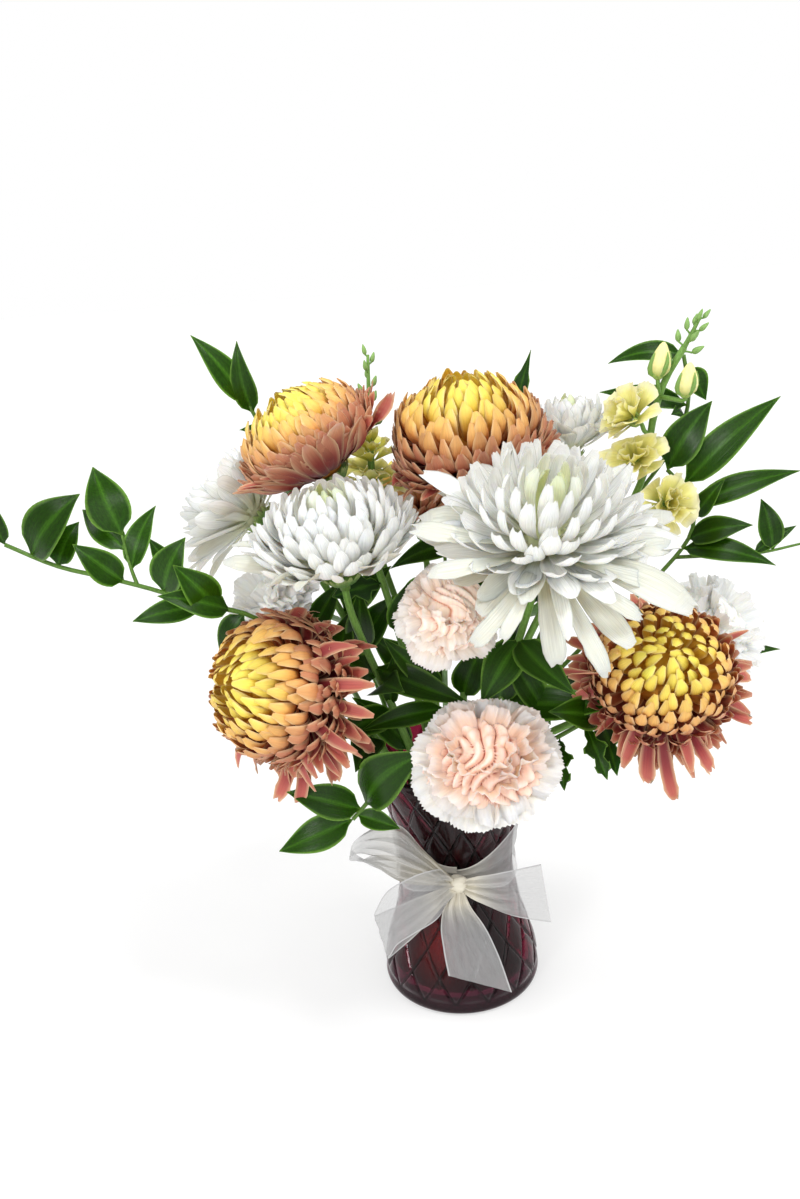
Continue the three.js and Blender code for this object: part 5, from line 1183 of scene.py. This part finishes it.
def organza_finish():
    material, add, join = made_finish("sheer_organza", {"Roughness": 0.42, "Sheen Weight": 0.25})
    laid = add("UVMap", uv_map="laid_flat")[0]
    parted = add("SeparateXYZ", {"Vector": laid})
    across = add("Math", {0: parted["X"]}, operation="ABSOLUTE")[0]
    woven_edge = add("MapRange", {"Value": across, "From Min": 0.945, "From Max": 0.96, "To Max": 0.5})[0]
    threads = []
    for axis, scale in (("X", 190.0), ("Y", 95.0)):
        phase = add("Math", {0: parted[axis], 1: scale}, operation="MULTIPLY")[0]
        threads.append(add("Math", {0: phase}, operation="SINE")[0])
    weave = add("Math", {0: threads[0], 1: threads[1]}, operation="MULTIPLY")[0]
    crease = add("Mapping", {"Vector": laid, "Scale": (3.0, 0.8, 1.0)})[0]
    cloudy = add("TexNoise", {"Vector": crease, "Scale": 2.0, "Detail": 3.0})["Fac"]
    cover = {"Value": cloudy, "From Min": 0.3, "From Max": 0.7, "To Min": 0.44, "To Max": 0.5}
    body = add("MapRange", cover)[0]
    grain = add("Math", {0: weave, 1: 0.06, 2: body}, operation="MULTIPLY_ADD")[0]
    tight = add("Math", {0: grain, 1: woven_edge}, operation="ADD")[0]
    gathered = add("VertexColor", layer_name="shade")["Color"]
    dense = add("SeparateColor", {"Color": gathered})["Blue"]
    join(add("Math", {0: tight, 1: dense}, operation="ADD", use_clamp=True)[0], "Alpha")
    sheen_tone = add("MapRange", {"Value": cloudy, "To Min": 0.38, "To Max": 0.43})[0]
    warm = add("Mix", {"Factor": dense, "A": sheen_tone, "B": (0.8, 0.73, 0.54, 1)}, data_type="RGBA")
    join(warm["Result"], "Base Color")
    join(add("Bump", {"Height": weave, "Strength": 0.1, "Distance": 0.0003})[0], "Normal")
    return material


def cloth_part(points, tight, across, along):
    """A sheet from its grid of points [along, across], how densely each row is gathered, and
    where the rows and columns lie when it is flat."""
    rows, columns, _ = points.shape
    flat = np.stack(np.broadcast_arrays(across[None], along[:, None]), -1).reshape(-1, 2)
    shades = np.repeat(tight, columns)[:, None]
    return {"points": points.reshape(-1, 3), "quads": grid_quads(rows, columns), "shades": shades, "flat": flat}


def ribbon_strip(stations, rows, seed, columns=49, folds=3.0):
    """A strip of ribbon through [place, half of its width as a vector]. Where it is drawn in
    narrower than it was woven, the rest of its width lies in pleats."""
    sixes = np.array([[*place, *half] for place, half in stations], float)
    line = smooth_path(sixes, 400)
    run = np.concatenate([[0], np.cumsum(np.linalg.norm(np.diff(sixes[:, :3], axis=0), axis=1))])
    share = np.concatenate([[0], np.cumsum(np.linalg.norm(np.diff(line, axis=0), axis=1))])
    t = np.linspace(0, share[-1], rows)
    knots = run / run[-1] * share[-1]
    mid = np.stack([np.interp(t, share, line[:, k]) for k in range(3)], -1)
    half = np.stack([smooth_between(knots, sixes[:, k], t) for k in range(3, 6)], -1)
    drawn_in = np.linalg.norm(half, axis=1)
    normal = np.cross(half, np.gradient(mid, axis=0))
    normal /= np.linalg.norm(normal, axis=1, keepdims=True)
    across = np.linspace(-1, 1, columns)
    phase = np.random.default_rng(seed).uniform(0, 6.28)
    excess = np.clip(RIBBON_HALF / np.maximum(drawn_in, 3), 1, 3)
    lift = 2 * drawn_in / folds / math.pi * np.sqrt(excess - 1) * 0.75
    lift = np.minimum(lift, 2.0) * eased((excess - 1.12) / 0.5) + 0.08
    wave = np.sin(across[None] * folds * math.pi + phase + 0.5 * np.sin(t / 14)[:, None])
    wave = wave + 0.3 * np.sin(across[None] * folds * 2.3 * math.pi + 2 * phase)
    points = mid[:, None] + half[:, None] * across[None, :, None] + normal[:, None] * (lift[:, None] * wave)[..., None]
    return cloth_part(points, 0.5 * np.clip((excess - 1.35) / 1.4, 0, 1), across, t / RIBBON_HALF)


def waist_band():
    """The band round the waist: gathered to the knot in front, spread to its full width behind."""
    across = np.linspace(-1, 1, 33)
    bearing = np.linspace(-90, 270, 220)
    away = np.minimum(np.abs(bearing + 90), np.abs(bearing - 270))
    half = 6.5 + (RIBBON_HALF - 6.5) * eased(away / 62)
    height = KNOT[2] + across * half[:, None] + 1.5 * eased(away / 60)[:, None]
    gather = 1 - eased(away / 70)
    wave = np.sin(across * 3.4 * math.pi + bearing[:, None] / 40) * (0.25 + 1.5 * gather[:, None])
    wave = wave + 0.35 * np.sin(across * 1.7 * math.pi + bearing[:, None] / 16)
    radius = wall_radius(height) + 3.3 + wave + 0.9 * gather[:, None]
    angle = np.radians(bearing)[:, None]
    points = np.stack([radius * np.cos(angle), radius * np.sin(angle), height], -1)
    return cloth_part(points, 0.3 * gather**2, across, np.radians(bearing) * 38 / RIBBON_HALF)


def tied_knot():
    """The knot: the ribbon's own turn over itself, a small ribbed roll."""
    rows, columns = 17, 28
    share = np.linspace(0.02, 0.98, rows)[:, None] * math.pi
    turn = np.arange(columns)[None] / columns * 2 * math.pi
    ribs = 1 + 0.09 * np.sin(3 * share + 4 * turn) + 0.05 * np.cos(9 * turn + share)
    girth = np.sin(share) ** 0.8 * ribs
    level, height = girth * 4.6 * np.cos(turn), girth * 5.6 * np.sin(turn)
    points = np.stack([np.cos(share) * 6.0 * np.ones(columns), -level, height], -1)
    flat = np.stack(np.broadcast_arrays(turn / 3, share), -1).reshape(-1, 2)
    points = points.reshape(-1, 3) + KNOT + (0, -2.5, 1)
    return {"points": points, "quads": closed_quads(rows, columns), "shades": 0.55, "flat": flat}


# Where the middle of each strip runs and half of its width there, as seen from the front.
UPPER_LOOP = [((-3, -47, 93), (0, 0, 3.5)), ((-17, -49, 109), (-1.5, 0.5, 8)), ((-32, -51, 123), (0, 4, 10)),
              ((-45, -51, 126), (-1, 11, 3)), ((-56, -50, 123), (-1, 15, -4)), ((-61, -50, 118), (-1, 16, -6)),
              ((-56, -49, 113), (-1, 13, -7)), ((-46, -47, 109), (0, 7, -9)), ((-33, -44.5, 102), (0, 1, -9)),
              ((-17, -44, 96), (0, 0, -6)), ((-4, -43.5, 91), (0, 0, -2.5))]
LOWER_LOOP = [((-2, -48, 92), (-0.5, 1, 4)), ((-7, -54, 95), (-1, 0.5, 11)), ((-15, -60, 94), (-2, 0, 16)),
              ((-28, -61.5, 88), (-2, -1, 18.5)), ((-39, -59, 79), (-2, 0, 18)), ((-45, -55, 67), (-3, 0.5, 16)),
              ((-47, -51.5, 61), (-3, 0.5, 15)), ((-38, -49.5, 66), (-3, 0.5, 13)), ((-21, -48, 77), (-2, 0.5, 9)),
              ((-5, -45, 87), (-1, 0.5, 3))]
RIGHT_TAIL = [((2, -48, 91), (-0.3, 0.5, 3.5)), ((12, -54, 92), (-0.6, 1, 8)), ((25, -54.5, 89), (-2.2, 2.5, 12)),
              ((51, -51, 86), (-2, 5, 16.5))]
LOWER_TAIL = [((0, -50, 89), (-3.5, 0, 0.5)), ((-1, -55.5, 82), (-8, 0, 0)), ((1, -58, 73), (-12, 0, 0)),
              ((5, -59.5, 56), (-15.5, 0.5, 1)), ((10, -59, 31), (-18.5, 1, 6))]
bow_parts = [ribbon_strip(UPPER_LOOP, 90, 70), ribbon_strip(LOWER_LOOP, 90, 71)]
bow_parts += [ribbon_strip(RIGHT_TAIL, 48, 72), ribbon_strip(LOWER_TAIL, 90, 73)]
organza = organza_finish()
band = lay_out("ribbon_waist_band", [waist_band()], [organza], ["ribbon_band"], "organza")
knot = lay_out("ribbon_knot", [tied_knot()], [organza], (), "organza")
bow = lay_out("ribbon_loops_and_tails", bow_parts, [organza], ["ribbon_bow"], "organza")
